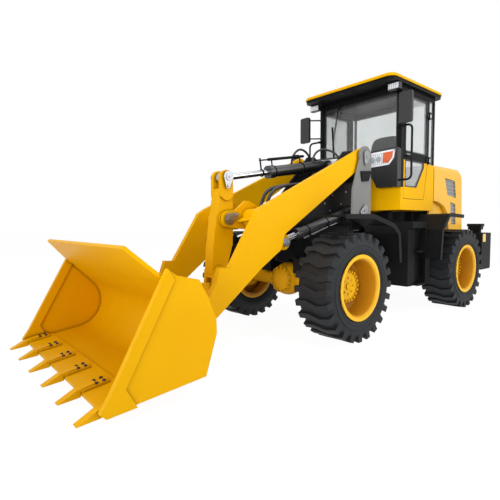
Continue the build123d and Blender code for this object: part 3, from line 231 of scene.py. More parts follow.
def shaded_nook_coat(tree, coat, reach_mm, darkest):
    """The coat with painted shade in its nooks, within a reach from the corner."""
    nook = add(tree, "AmbientOcclusion", {"Distance": reach_mm * MM, "samples": 6})
    limits = {"From Min": 0.45, "From Max": 0.85, "To Min": darkest, "To Max": 1.0}
    painted_shade = add(tree, "MapRange", limits, {"Value": nook.outputs["AO"]})
    over = {"data_type": "RGBA", "blend_type": "MULTIPLY", 0: 1.0}
    return add(tree, "Mix", over, {6: coat, 7: painted_shade.outputs[0]}).outputs[2]


print("masking and grime ready")

# %% Sprayed paint
COAT_PATCH_MM = 420
HAZE_MM = 60
PEEL_MM = 8
NOOK_MM = 45
NOOK_SHADE = 0.5


def enamel(name, deep, thin, rough, zones=(), shine=0.08, ripple=0.05, edge=3):
    """Sprayed paint: two close colours, a fine peel, painted nook shade, and boxes (x, |y|, z) in other
    colours.
    """
    finish, tree, place = blank_finish(name)
    slow = add(tree, "TexNoise", {"Scale": 1 / (COAT_PATCH_MM * MM), "Detail": 3.0}, {"Vector": place})
    tint = add(tree, "Mix", {"data_type": "RGBA", 6: colour(deep), 7: colour(thin)}, {0: slow.outputs[0]})
    coat = tint.outputs[2]
    split = add(tree, "SeparateXYZ", None, {0: place})
    from_middle = add(tree, "Math", {"operation": "ABSOLUTE"}, {0: split.outputs["Y"]})
    axes = (split.outputs["X"], from_middle.outputs[0], split.outputs["Z"])
    for reach, shade in zones:
        coat = box_colour_coat(tree, coat, axes, reach, shade)
    # painted shade: the occlusion node darkens the coat in its nooks
    coat = shaded_nook_coat(tree, coat, NOOK_MM, NOOK_SHADE)
    haze = add(tree, "TexNoise", {"Scale": 1 / (HAZE_MM * MM), "Detail": 4.0}, {"Vector": place})
    limits = {"From Min": 0.3, "From Max": 0.7, "To Min": rough - 0.05, "To Max": rough + 0.07}
    gloss = add(tree, "MapRange", limits, {"Value": haze.outputs[0]})
    peel = add(tree, "TexNoise", {"Scale": 1 / (PEEL_MM * MM), "Detail": 1.0}, {"Vector": place})
    soft = add(tree, "Bevel", {"Radius": edge * MM, "samples": 4})
    relief = add(tree, "Bump", {"Strength": ripple, "Distance": 1 * MM},
                 {"Height": peel.outputs[0], "Normal": soft.outputs[0]})
    paint = add(tree, "BsdfPrincipled", {"IOR": 1.5, "Specular IOR Level": shine},
                {"Base Color": coat, "Roughness": gloss.outputs[0], "Normal": relief.outputs[0]})
    add(tree, "OutputMaterial", None, {"Surface": paint.outputs[0]})
    return finish


print("orange peel is drawn", PEEL_MM, "mm across")

# %% [markdown]
# The paint shop mixes few colours. Yellow covers the arms, bucket and cab, a duller yellow the axle
# castings, and black the frames and fenders. The hood is polished and mirrors the white studio, and its
# louvres are masked off in grey. A lighter grey box on the tower's black outer plates above the axle is a
# painted highlight. A near-white box inside the cab is painted light: it stands in for the reflection on
# the lower door panes and lifts the shade inside. The cylinders' barrels have the glossiest black, without
# the peel, because they are turned before they are painted.

# %% Paint colours
EVERYWHERE = (-9.0, 9.0)
YELLOW = ("#E1A400", "#E8B000")
INK = "#101011"
CAB_INSIDE_PAINTED_LIGHT = "#E2E4E4"
TOWER_HIGHLIGHT_GREY = "#7C7C7A"
LOUVRE_GREY = "#8B8B89"
WAIST = 1.968
SILL = 1.338
LOUVRE_DEPTH = (0.55, 0.6335)
yellow_enamel = enamel("yellow_enamel", *YELLOW, 0.42)
door_enamel = enamel("two_tone_door_enamel", *YELLOW, 0.42, [((EVERYWHERE, EVERYWHERE, (WAIST, 9.0)), INK)])
cab_enamel = enamel("cab_body_enamel", *YELLOW, 0.42, [
    ((EVERYWHERE, EVERYWHERE, (0.0, SILL)), INK),
    # painted light: the cab's inside is near white, standing in for the reflection on the lower door panes
    # and lifting the shade inside
    (((-1.66, -0.86), (0.0, 0.606), (1.36, 3.0)), CAB_INSIDE_PAINTED_LIGHT),
])
rim_enamel = enamel("rim_enamel", "#E0A60A", "#EDB714", 0.4)
axle_enamel = enamel("axle_enamel", "#D89B0A", "#E4AB14", 0.45)
black_enamel = enamel("black_enamel", "#0F0F10", "#19191A", 0.4)
frame_enamel = enamel("frame_enamel", "#121213", "#1F1F20", 0.48)
# painted highlight: a lighter grey box on the tower's black outer plates above the axle
tower_enamel = enamel("tower_enamel", "#131314", "#222223", 0.42, [
    ((EVERYWHERE, (0.52, 0.57), (1.2, 3.0)), TOWER_HIGHLIGHT_GREY),
])
barrel_enamel = enamel("cylinder_enamel", "#101011", "#1A1A1B", 0.34, shine=1.0, ripple=0.0, edge=0)
hood_enamel = enamel("hood_enamel", *YELLOW, 0.42, [
    (((-2.47, -2.0), LOUVRE_DEPTH, (1.5, 1.86)), LOUVRE_GREY),
    (((-2.48, -2.15), LOUVRE_DEPTH, (1.1, 1.5)), LOUVRE_GREY),
], shine=0.9)
print("paints ready, doors change colour at", WAIST, "m")

# %% [markdown]
# The deep ring of a wheel's barrel, between hub and flange, lies in shade, which is painted in as a darker,
# brownish colour. It could be a second material on chosen faces, but its edge would be hard. The distance
# from the axle picks it out softly instead: bright hub, deep ring in painted shade, bright flange. The two
# axles are the only places where a rim can be, so the smaller of two distances is enough for all four wheels.

# %% Rim paint by radius
AXLE_Z = 0.540
AXLE_X = (0.515, -1.995)
BARREL_PATCH_MM = 90
HUB_STOP = (0.168, "#E6B00E")
FLANGE_STOP = (0.300, "#E9B318")
# painted shade: the deep ring between hub and flange is darker and browner
SHADED_RING_STOPS = ((0.176, "#A2690A"), (0.272, "#AD730E"))
wheel_enamel, tree, place = blank_finish("wheel_barrel_enamel")
flat = add(tree, "VectorMath", {"operation": "MULTIPLY", 1: (1, 0, 1)}, {0: place})
front, rear = [
    add(tree, "VectorMath", {"operation": "DISTANCE", 1: (x, 0, AXLE_Z)}, {0: flat.outputs[0]})
    for x in AXLE_X
]
gaps = {0: front.outputs["Value"], 1: rear.outputs["Value"]}
axle_gap = add(tree, "Math", {"operation": "MINIMUM"}, gaps)
rings = add(tree, "ValToRGB", None, {0: axle_gap.outputs[0]})
for stop, (reach, shade) in zip(rings.color_ramp.elements, (HUB_STOP, FLANGE_STOP)):
    stop.position = reach
    stop.color = colour(shade)
for reach, shade in SHADED_RING_STOPS:
    rings.color_ramp.elements.new(reach).color = colour(shade)
# painted shade: the occlusion node darkens the rim's nooks within 30 mm
coat = shaded_nook_coat(tree, rings.outputs[0], 30, 0.55)
patch = add(tree, "TexNoise", {"Scale": 1 / (BARREL_PATCH_MM * MM), "Detail": 3.0}, {"Vector": place})
gloss = add(tree, "MapRange", {"To Min": 0.32, "To Max": 0.5}, {"Value": patch.outputs[0]})
paint = add(tree, "BsdfPrincipled", {"IOR": 1.5, "Specular IOR Level": 0.25},
            {"Base Color": coat, "Roughness": gloss.outputs[0]})
add(tree, "OutputMaterial", None, {"Surface": paint.outputs[0]})
print("rim paint has", len(rings.color_ramp.elements), "stops")

# %% [markdown]
# ## Tyre rubber
# Tyre rubber is carbon black, moulded hot in a steel mould: dull, faintly blue-grey where it has been
# handled, and rough at the millimetre scale. Smooth black plastic would look wet beside it. The mould's
# skin has a grain of about 2 mm, drawn at 5 mm so that it shows, and the bevel rounds the lugs' edges as
# wear does.

# %% Tyre rubber
DUST_MM = 90
MOULD_SKIN_MM = 5
tyre_rubber, tree, place = blank_finish("tyre_rubber")
dust = add(tree, "TexNoise", {"Scale": 1 / (DUST_MM * MM), "Detail": 5.0}, {"Vector": place})
tint = add(tree, "Mix", {"data_type": "RGBA", 6: colour("#0D0F12"), 7: colour("#191C20")},
           {0: dust.outputs[0]})
skin = add(tree, "TexNoise", {"Scale": 1 / (MOULD_SKIN_MM * MM), "Detail": 3.0}, {"Vector": place})
soft = add(tree, "Bevel", {"Radius": 5 * MM, "samples": 4})
relief = add(tree, "Bump", {"Strength": 0.25, "Distance": 1.5 * MM},
             {"Height": skin.outputs[0], "Normal": soft.outputs[0]})
rubber = add(tree, "BsdfPrincipled", {"IOR": 1.5, "Roughness": 0.62, "Specular IOR Level": 0.3},
             {"Base Color": tint.outputs[2], "Normal": relief.outputs[0]})
add(tree, "OutputMaterial", None, {"Surface": rubber.outputs[0]})
print("tyre skin is drawn at", MOULD_SKIN_MM, "mm")

# %% [markdown]
# ## Moulded plastic
# The lamp housings, mirrors and steering console are injection-moulded ABS. The mould is etched with a
# leather grain of about 1 mm, which breaks the highlight into a soft sheen. It is drawn at 4 mm so that
# it shows. Cell noise has the rounded pebbles of that grain, which plain noise lacks.

# %% Grained plastic
ABS_GRAIN_MM = 4
ABS_PATCH_MM = 150
grained_abs, tree, place = blank_finish("grained_black_abs")
grain = add(tree, "TexVoronoi", {"Scale": 1 / (ABS_GRAIN_MM * MM)}, {"Vector": place})
patch = add(tree, "TexNoise", {"Scale": 1 / (ABS_PATCH_MM * MM), "Detail": 2.0}, {"Vector": place})
tint = add(tree, "Mix", {"data_type": "RGBA", 6: colour("#111112"), 7: colour("#1B1B1C")},
           {0: patch.outputs[0]})
relief = add(tree, "Bump", {"Strength": 0.15, "Distance": 0.5 * MM}, {"Height": grain.outputs[0]})
plastic = add(tree, "BsdfPrincipled", {"IOR": 1.54, "Roughness": 0.42},
              {"Base Color": tint.outputs[2], "Normal": relief.outputs[0]})
add(tree, "OutputMaterial", None, {"Surface": plastic.outputs[0]})
print("plastic grain is drawn at", ABS_GRAIN_MM, "mm")

# %% [markdown]
# ## Woven cloth
# The chair is covered in woven polyester: matt, with a pale fuzz at its edges. Two wave textures at right
# angles are the warp and the weft, and the higher of the two is the thread on top. The real threads lie
# about 1 mm apart. The waves are set much coarser, so that some weave is left when it is seen through
# glass.

# %% Chair cloth
WEAVE_MM = 40
chair_cloth, tree, place = blank_finish("woven_chair_cloth")
weft = add(tree, "TexWave", {"Scale": 1 / (WEAVE_MM * MM), "bands_direction": "Z"}, {"Vector": place})
warp = add(tree, "TexWave", {"Scale": 1 / (WEAVE_MM * MM), "bands_direction": "Y"}, {"Vector": place})
weave = add(tree, "Math", {"operation": "MAXIMUM"}, {0: weft.outputs[1], 1: warp.outputs[1]})
tint = add(tree, "Mix", {"data_type": "RGBA", 6: colour("#121214"), 7: colour("#2B2B2E")},
           {0: weave.outputs[0]})
relief = add(tree, "Bump", {"Strength": 0.3, "Distance": 1 * MM}, {"Height": weave.outputs[0]})
cloth = add(tree, "BsdfPrincipled", {"Roughness": 0.9, "Sheen Weight": 0.2},
            {"Base Color": tint.outputs[2], "Normal": relief.outputs[0]})
add(tree, "OutputMaterial", None, {"Surface": cloth.outputs[0]})
print("cloth has", len(tree.nodes), "nodes")

# %% [markdown]
# ## Metals
# Piston rods are hard chrome, ground and polished, so they mirror the white studio, with faint oil smears
# in their gloss. Pins and their keeper plates are machined steel: brushed-looking, with turning marks of
# about 1 mm, drawn at 6 mm. The engine and shafts are iron cast in sand, dull grey and pitted, with a
# grit of about 2 mm, drawn at 7 mm. All three are metals, and what sets them apart is how much their
# gloss is broken up.

# %% Chrome
SMEAR_MM = 30
chrome_rod, tree, place = blank_finish("hard_chrome")
smear = add(tree, "TexNoise", {"Scale": 1 / (SMEAR_MM * MM), "Detail": 4.0}, {"Vector": place})
gloss = add(tree, "MapRange", {"To Min": 0.1, "To Max": 0.24}, {"Value": smear.outputs[0]})
metal = add(tree, "BsdfPrincipled", {"Base Color": colour("#B2B4B7"), "Metallic": 1.0},
            {"Roughness": gloss.outputs[0]})
add(tree, "OutputMaterial", None, {"Surface": metal.outputs[0]})
print("chrome ready")

# %% Machined steel
TURNING_MM = 6
pin_steel, tree, place = blank_finish("machined_steel")
marks = add(tree, "TexNoise", {"Scale": 1 / (TURNING_MM * MM), "Detail": 3.0}, {"Vector": place})
tint = add(tree, "Mix", {"data_type": "RGBA", 6: colour("#808285"), 7: colour("#A8AAAD")},
           {0: marks.outputs[0]})
gloss = add(tree, "MapRange", {"To Min": 0.28, "To Max": 0.46}, {"Value": marks.outputs[0]})
metal = add(tree, "BsdfPrincipled", {"Metallic": 1.0},
            {"Base Color": tint.outputs[2], "Roughness": gloss.outputs[0]})
add(tree, "OutputMaterial", None, {"Surface": metal.outputs[0]})
print("steel marks are drawn at", TURNING_MM, "mm")

# %% Cast iron
SAND_MM = 7
cast_iron, tree, place = blank_finish("sand_cast_iron")
sand = add(tree, "TexNoise", {"Scale": 1 / (SAND_MM * MM), "Detail": 4.0}, {"Vector": place})
tint = add(tree, "Mix", {"data_type": "RGBA", 6: colour("#2A2A2C"), 7: colour("#424244")},
           {0: sand.outputs[0]})
relief = add(tree, "Bump", {"Strength": 0.35, "Distance": 1 * MM}, {"Height": sand.outputs[0]})
iron = add(tree, "BsdfPrincipled", {"Roughness": 0.7, "Metallic": 0.4},
           {"Base Color": tint.outputs[2], "Normal": relief.outputs[0]})
add(tree, "OutputMaterial", None, {"Surface": iron.outputs[0]})
print("cast iron grit is drawn at", SAND_MM, "mm")

# %% [markdown]
# ## Cab glass
# Cab glass is a laminated float pane, 6 mm thick, smooth and clear, with a slightly uneven grey tint.
# Light is tinted once on the way in and once on the way out, so the colour is set paler than the pane
# looks. The door panes let only about three quarters of the light through, and the rest is a pale diffuse
# share that is a painted reflection, so they read whitish. One function makes both.

# %% Glass
STREAK_MM = 300


def tinted_glass(name, deep, pale, clear):
    """Float glass with a slow streak in its tint, and the share of light that it lets through."""
    finish, tree, place = blank_finish(name)
    streak = add(tree, "TexNoise", {"Scale": 1 / (STREAK_MM * MM), "Detail": 2.0}, {"Vector": place})
    tint = add(tree, "Mix", {"data_type": "RGBA", 6: colour(deep), 7: colour(pale)}, {0: streak.outputs[0]})
    glass = add(tree, "BsdfPrincipled", {"IOR": 1.45, "Roughness": 0.0, "Transmission Weight": clear},
                {"Base Color": tint.outputs[2]})
    add(tree, "OutputMaterial", None, {"Surface": glass.outputs[0]})
    return finish


cab_glass = tinted_glass("grey_laminated_glass", "#E6E9E9", "#F0F2F2", 0.97)
# painted reflection: the quarter of each door pane that is not clear shows pale
door_glass = tinted_glass("painted_glare_door_glass", "#DFE2E2", "#EBEDED", 0.74)
print("glass ready")

# %% [markdown]
# ## Lamp lenses
# Lamp lenses are moulded polycarbonate. The head lamp's is clear with upright flutes that spread its
# beam, so it shows pale and dark bands. Indicators, tail lamps and reflectors are dyed through, and their
# back is a grid of small prisms, which glints in many points. The prisms are about 3 mm wide and drawn at
# 9 mm. The bowls behind the clear lens and their white rims have the same moulded facets.

# %% Fluted lens
FLUTE_MM = 90
lamp_lens, tree, place = blank_finish("fluted_lamp_lens")
flutes = add(tree, "TexWave", {"Scale": 1 / (FLUTE_MM * MM), "bands_direction": "Y"}, {"Vector": place})
tint = add(tree, "Mix", {"data_type": "RGBA", 6: colour("#B9C0C6"), 7: colour("#EEF2F5")},
           {0: flutes.outputs[1]})
relief = add(tree, "Bump", {"Strength": 0.4, "Distance": 2 * MM}, {"Height": flutes.outputs[1]})
lens = add(tree, "BsdfPrincipled", {"IOR": 1.58, "Roughness": 0.08, "Coat Weight": 0.5},
           {"Base Color": tint.outputs[2], "Normal": relief.outputs[0]})
add(tree, "OutputMaterial", None, {"Surface": lens.outputs[0]})
print("lens flutes are set to", FLUTE_MM, "mm")

# %% Dyed lenses
PRISM_MM = 9


def tinted_lens(name, deep, pale):
    """Dyed lens plastic with a fine prism grid."""
    finish, tree, place = blank_finish(name)
    prisms = add(tree, "TexVoronoi", {"Scale": 1 / (PRISM_MM * MM)}, {"Vector": place})
    tint = add(tree, "Mix", {"data_type": "RGBA", 6: colour(deep), 7: colour(pale)}, {0: prisms.outputs[0]})
    relief = add(tree, "Bump", {"Strength": 0.3, "Distance": 1 * MM}, {"Height": prisms.outputs[0]})
    lens = add(tree, "BsdfPrincipled", {"IOR": 1.58, "Roughness": 0.12, "Coat Weight": 0.5},
               {"Base Color": tint.outputs[2], "Normal": relief.outputs[0]})
    add(tree, "OutputMaterial", None, {"Surface": lens.outputs[0]})
    return finish


amber_lens = tinted_lens("amber_lens", "#C4410A", "#E86A1C")
red_lens = tinted_lens("red_lens", "#7E0B0B", "#B91414")
yellow_reflector = tinted_lens("yellow_reflector", "#D9A800", "#F0C21A")
silver_bowl = tinted_lens("silver_lamp_bowl", "#7C848A", "#B9BFC4")
white_bezel = tinted_lens("white_lamp_bezel", "#E6EBF2", "#F7F9FC")
print("lens prisms are drawn at", PRISM_MM, "mm")

# %% [markdown]
# ## Dressing the CAD nodes
# Each node keeps its CAD shape and only swaps its material. The list reads like a paint shop's work
# sheet: one row for each finish, with the pieces that get it.

# %% Materials on the nodes
WHEELS = ("front_left", "front_right", "rear_left", "rear_right")
LINKAGE = ("left_arm", "right_arm", "boom_cross_tube", "bell_crank", "bucket_link")
work_sheet = {
    yellow_enamel: (*LINKAGE, "bucket", "bucket_teeth", "roof"),
    hood_enamel: ("hood",),
    cab_enamel: ("cab_base",),
    wheel_enamel: tuple(w + "_rim" for w in WHEELS),
    tyre_rubber: tuple(w + "_tyre" for w in WHEELS),
    axle_enamel: ("front_axle", "rear_axle"),
    tower_enamel: ("front_frame",),
    frame_enamel: ("rear_frame", "side_steps", "counterweight"),
    black_enamel: ("front_fenders", "rear_fenders", "cab_frame", "grab_rails"),
    barrel_enamel: ("tilt_cylinder", "lift_cylinders", "left_steer_cylinder", "right_steer_cylinder"),
    door_enamel: ("left_door", "right_door"),
    grained_abs: ("lamp_housings", "mirrors", "steering_console"),
    chair_cloth: ("operator_chair",),
    chrome_rod: ("tilt_rod", "lift_rods", "left_steer_rod", "right_steer_rod"),
    pin_steel: ("tower_pins", "bell_crank_pin", "link_pin", "bucket_pins", "pivot_pins"),
    cast_iron: ("engine", "front_drive_shaft", "rear_drive_shaft"),
    cab_glass: ("cab_glass",),
    door_glass: ("left_door_glass", "right_door_glass"),
    lamp_lens: ("lamp_lenses",),
}
for finish, names in work_sheet.items():
    for name in names:
        nodes[name].data.materials.clear()
        nodes[name].data.materials.append(finish)
undressed = set(nodes) - {n for names in work_sheet.values() for n in names}
print("nodes without a finish:", sorted(undressed))

# %% [markdown]
# ## Building small pieces
# The fittings are plain shapes repeated many times. They could be separate objects, but hundreds of those
# are hard to handle, so each kind is one joined mesh in metres, in the same frame as the CAD, and it
# rides on the body that carries it. A narrow bevel catches the light along its edges. Plates are prisms
# of an outline, and most of them come in pairs, at the same distance to the left and to the right of the
# middle.


# %% Pieces
def piece(name, body, finish, mesh, bevel=0.0):
    """One object from a mesh, in its finish, riding on a CAD body."""
    bmesh.ops.recalc_face_normals(mesh, faces=mesh.faces)
    data = bpy.data.meshes.new(name)
    mesh.to_mesh(data)
    mesh.free()
    data.materials.append(finish)
    data.shade_smooth()
    data.set_sharp_from_angle(angle=math.radians(35))
    made = bpy.data.objects.new(name, data)
    bpy.context.scene.collection.objects.link(made)
    if bevel:
        edge = made.modifiers.new("eased_edges", "BEVEL")
        edge.width = bevel
        edge.segments = 2
        edge.angle_limit = math.radians(40)
    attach(made, body)
    print(name, "has", len(data.polygons), "faces")
    return made


print("pieces can be made")

# %% Plates
SIDES = (1, -1)


def across(side, inner, outer):
    """Lower and upper y of a slab between two distances from the middle, on the left (1) or right (-1)."""
    return sorted((side * inner, side * outer))


def rectangle(a0, b0, a1, b1):
    """Outline of a rectangle between two opposite corners."""
    return [(a0, b0), (a1, b0), (a1, b1), (a0, b1)]


def put_plate(mesh, outline, axis, low, high):
    """Prism of an outline along x, y or z."""
    turn = {
        "x": lambda a, b, d: (d, a, b),
        "y": lambda a, b, d: (a, d, b),
        "z": lambda a, b, d: (a, b, d),
    }[axis]
    lower = [mesh.verts.new(turn(a, b, low)) for a, b in outline]
    upper = [mesh.verts.new(turn(a, b, high)) for a, b in outline]
    mesh.faces.new(lower)
    mesh.faces.new(upper)
    for i in range(len(outline)):
        j = (i + 1) % len(outline)
        mesh.faces.new((lower[i], lower[j], upper[j], upper[i]))


print("a plate pair lies at y", across(1, 0.1, 0.2), "and", across(-1, 0.1, 0.2))

# %% [markdown]
# Round parts need two more shapes. A cone operator with equal ends makes a bar between two points, and
# with six sides it is a bolt's head. A ring is a circle swept round an axis, written out row by row,
# because the mesh operators have no torus that can be added to a mesh in the making.


# %% Rods and rings
def put_rod(mesh, start, end, radius, sides=20, tip=None):
    """Round bar between two points, or a hexagon head with six sides."""
    start, end = Vector(start), Vector(end)
    run = end - start
    lie = Matrix.Translation((start + end) / 2) @ run.to_track_quat("Z", "Y").to_matrix().to_4x4()
    bmesh.ops.create_cone(mesh, cap_ends=True, segments=sides, radius1=radius,
                          radius2=radius if tip is None else tip, depth=run.length, matrix=lie)


def put_ring(mesh, centre, axis, radius, thick, around=48, section=8):
    """Torus about an axis."""
    lie = Matrix.Translation(centre) @ Vector(axis).to_track_quat("Z", "Y").to_matrix().to_4x4()
    rows = []
    for i in range(around):
        a = 2 * math.pi * i / around
        row = []
        for k in range(section):
            b = 2 * math.pi * k / section
            out = radius + thick * math.cos(b)
            at = Vector((out * math.cos(a), out * math.sin(a), thick * math.sin(b)))
            row.append(mesh.verts.new(lie @ at))
        rows.append(row)
    for i in range(around):
        for k in range(section):
            j, m = (i + 1) % around, (k + 1) % section
            mesh.faces.new((rows[i][k], rows[j][k], rows[j][m], rows[i][m]))


print("rods and rings ready")

# %% [markdown]
# ## Wheels
# The hub is a planetary reduction: a flat cover with a ring of small bolts, and wheel nuts further out.
# On the tyre's side wall, raised rings protect the bead. Both sides of the machine get the same pieces,
# so the loop only needs to know which way is out. The nuts start a little below the hub's face, so none
# floats.

# %% Hub nuts and side wall rings
HUB_FACE = 0.035
NUT_ROOT = 0.008
NUT_ROWS = ((20, 0.150, 0.0125, 0.018), (8, 0.080, 0.009, 0.011))
HUB_CAP = (0.034, 0.006)
BEAD_RINGS = ((0.372, 0.1948), (0.42, 0.1970))
for wheel in WHEELS:
    low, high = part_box(wheel + "_rim")
    side = 1 if high.y > 0 else -1
    centre = (low + high) / 2
    face = centre.y + side * HUB_FACE
    root = face - side * NUT_ROOT
    nuts = bmesh.new()
    for count, radius, size, stand in NUT_ROWS:
        for i in range(count):
            a = 2 * math.pi * i / count
            at = Vector((centre.x + radius * math.cos(a), root, centre.z + radius * math.sin(a)))
            put_rod(nuts, at, at + Vector((0, side * (stand + 0.004), 0)), size, sides=6)
    cap_radius, cap_stand = HUB_CAP
    cap_top = face + side * cap_stand
    put_rod(nuts, (centre.x, root, centre.z), (centre.x, cap_top, centre.z), cap_radius, sides=32)
    piece(wheel + "_hub_nuts", wheel + "_wheel", rim_enamel, nuts, bevel=0.0015)
    beads = bmesh.new()
    for radius, out in BEAD_RINGS:
        at = (centre.x, centre.y + side * out, centre.z)
        put_ring(beads, at, (0, 1, 0), radius, 0.004, around=96, section=6)
    piece(wheel + "_bead_rings", wheel + "_wheel", tyre_rubber, beads)

# %% [markdown]
# ## Pins and their keeper plates
# Every pin of the loader arms is locked by a steel flag: round where it meets the pin, narrow where one
# bolt holds it to the plate. They are the small bright spots along the yellow linkage. A texture could
# fake them from afar, but they stand proud and cast a small shadow, so they are real plates.

# %% Keeper plates
PIN_CAP = 0.034
GREASE_NIPPLE = 0.007


def teardrop(centre, tip, big, small, steps=14):
    """Outline of a keeper plate: round at the pin, narrow at its bolt."""
    cx, cy = centre
    tx, ty = tip
    lean = math.atan2(ty - cy, tx - cx)
    points = []
    for i in range(steps + 1):
        a = lean + math.pi / 2 + math.pi * i / steps
        points.append((cx + big * math.cos(a), cy + big * math.sin(a)))
    for i in range(steps + 1):
        a = lean - math.pi / 2 + math.pi * i / steps
        points.append((tx + small * math.cos(a), ty + small * math.sin(a)))
    return points


def keeper(mesh, pin, tip, y, side, big=0.058, small=0.026):
    """Flag with its bolt, standing on a plate whose face is at y."""
    put_plate(mesh, teardrop(pin, tip, big, small), "y", *sorted((y, y + side * 0.009)))
    put_rod(mesh, (tip[0], y, tip[1]), (tip[0], y + side * 0.02, tip[1]), 0.013, sides=6)
    put_rod(mesh, (pin[0], y, pin[1]), (pin[0], y + side * 0.016, pin[1]), PIN_CAP, sides=28)
    put_rod(mesh, (pin[0], y, pin[1]), (pin[0], y + side * 0.026, pin[1]), GREASE_NIPPLE, sides=12)


print("a flag has", len(teardrop((0, 0), (0.1, 0), 0.05, 0.02)), "points")

# %% [markdown]
# The pins are given by where they lie in the side view, x and z, as the CAD has them. Each flag points to
# where its plate has room for a bolt.

# %% Flags on the linkage
CRANK_PIVOT = (1.480, 1.222)
LIFT_EYE = (1.045, 0.993)
TILT_EYE = (1.470, 1.632)
BUCKET_PIN = (2.140, 0.390)
ARM_FOOT = (-0.190, 1.950)
LIFT_PIN = (-0.170, 1.335)
arm_flags = bmesh.new()
crank_flags = bmesh.new()
ear_flags = bmesh.new()
tower_flags = bmesh.new()
for s in SIDES:
    keeper(arm_flags, CRANK_PIVOT, (1.398, 1.262), s * 0.1365, s)
    keeper(arm_flags, LIFT_EYE, (1.098, 1.022), s * 0.4805, s, big=0.046, small=0.02)
    keeper(crank_flags, TILT_EYE, (1.478, 1.545), s * 0.1065, s)
    keeper(ear_flags, BUCKET_PIN, (2.218, 0.420), s * 0.5535, s)
    keeper(tower_flags, ARM_FOOT, (-0.172, 1.868), s * 0.5625, s)
    keeper(tower_flags, LIFT_PIN, (-0.100, 1.300), s * 0.5625, s, big=0.05)
piece("arm_pin_keepers", "boom", pin_steel, arm_flags, bevel=0.0015)
piece("crank_pin_keepers", "bell_crank", pin_steel, crank_flags, bevel=0.0015)
piece("bucket_pin_keepers", "bucket", pin_steel, ear_flags, bevel=0.0015)
piece("tower_pin_keepers", "front_frame", pin_steel, tower_flags, bevel=0.0015)

# %% [markdown]
# ## Stiffeners on the cross tube
# The cross tube carries the whole pull of the bucket, so its pivot ears run back over the tube to a
# corner, and a flat gusset ties each ear to the arm beside it. The gusset slopes two ways, which a prism
# along one axis can't do, so its eight corners are written out and joined by six faces.

# %% Ear corners and gussets
EAR_CORNER = [(1.42, 1.296), (1.268, 1.409), (1.205, 1.402), (1.050, 1.345), (1.10, 1.24), (1.30, 1.20)]
GUSSET_FOOT = ((1.385, 0.123, 1.185), (1.270, 0.449, 1.240), (1.080, 0.449, 1.345), (1.120, 0.123, 1.330))
GUSSET_THICK = 0.020
BOX_FACES = ((0, 1, 2, 3), (4, 5, 6, 7), (0, 1, 5, 4), (1, 2, 6, 5), (2, 3, 7, 6), (3, 0, 4, 7))
ribs = bmesh.new()
for s in SIDES:
    put_plate(ribs, EAR_CORNER, "y", *across(s, 0.094, 0.122))
    tie = [ribs.verts.new((x, s * y, z + lift)) for lift in (0, GUSSET_THICK) for x, y, z in GUSSET_FOOT]
    for loop in BOX_FACES:
        ribs.faces.new([tie[i] for i in loop])
piece("pivot_gussets", "boom", yellow_enamel, ribs, bevel=0.003)

# %% [markdown]
# ## Axle covers and tower bolts
# The differential in the middle of each axle is a casting closed by a round cover at either end, held by
# a ring of bolts. The tower's side plates are bolted as well as welded: small plated bolts stand on the
# black plates between the arms, where they catch the light.

# %% Axle covers
COVER_RADIUS = 0.152
COVER_FACE = 0.135
COVER_BOLTS = 14
BOLT_CIRCLE = 0.138
for axle, body in (("front_axle", "front_frame"), ("rear_axle", "rear_frame")):
    low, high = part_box(axle)
    x = (low.x + high.x) / 2
    cover = bmesh.new()
    for i in range(COVER_BOLTS):
        a = 2 * math.pi * i / COVER_BOLTS
        for end in SIDES:
            at = Vector((x + end * 0.134, BOLT_CIRCLE * math.cos(a), AXLE_Z + BOLT_CIRCLE * math.sin(a)))
            put_rod(cover, at, at + Vector((end * 0.022, 0, 0)), 0.011, sides=6)
    for end in SIDES:
        put_rod(cover, (x + end * 0.10, 0, AXLE_Z), (x + end * COVER_FACE, 0, AXLE_Z), COVER_RADIUS, sides=48)
    piece(axle + "_bolts", body, axle_enamel, cover, bevel=0.0015)

# %% Tower bolts
TOWER_BOLTS = (
    (0.10, 1.50), (0.02, 1.62), (-0.06, 1.40), (0.14, 1.32), (-0.15, 1.55), (-0.02, 1.74), (0.24, 1.40),
)
studs = bmesh.new()
for s in SIDES:
    for x, z in TOWER_BOLTS:
        put_rod(studs, (x, s * 0.294, z), (x, s * 0.306, z), 0.012, sides=6)
piece("tower_bolts", "front_frame", pin_steel, studs)

# %% [markdown]
# ## Oil pipes
# Oil reaches the lift cylinders' far ends through a bright steel pipe along each barrel, held by clips
# and closed by a union nut. A pipe is stiff and straight, so it needs no curve, only a tube. A small
# function measures from the cylinder's foot: how far along the barrel, how far below its axis, and at
# which y.

# %% Oil pipes
PIPE_BELOW = 0.058
PIPE_Y = 0.415
BARREL_Y = 0.375
lift_foot = Vector((LIFT_PIN[0], 0, LIFT_PIN[1]))
lift_run = (Vector((LIFT_EYE[0], 0, LIFT_EYE[1])) - lift_foot).normalized()
lift_below = Vector((lift_run.z, 0, -lift_run.x))


def by_lift(y, along, below):
    """Point beside a lift cylinder, measured from its foot."""
    return lift_foot + Vector((0, y, 0)) + lift_run * along + lift_below * below


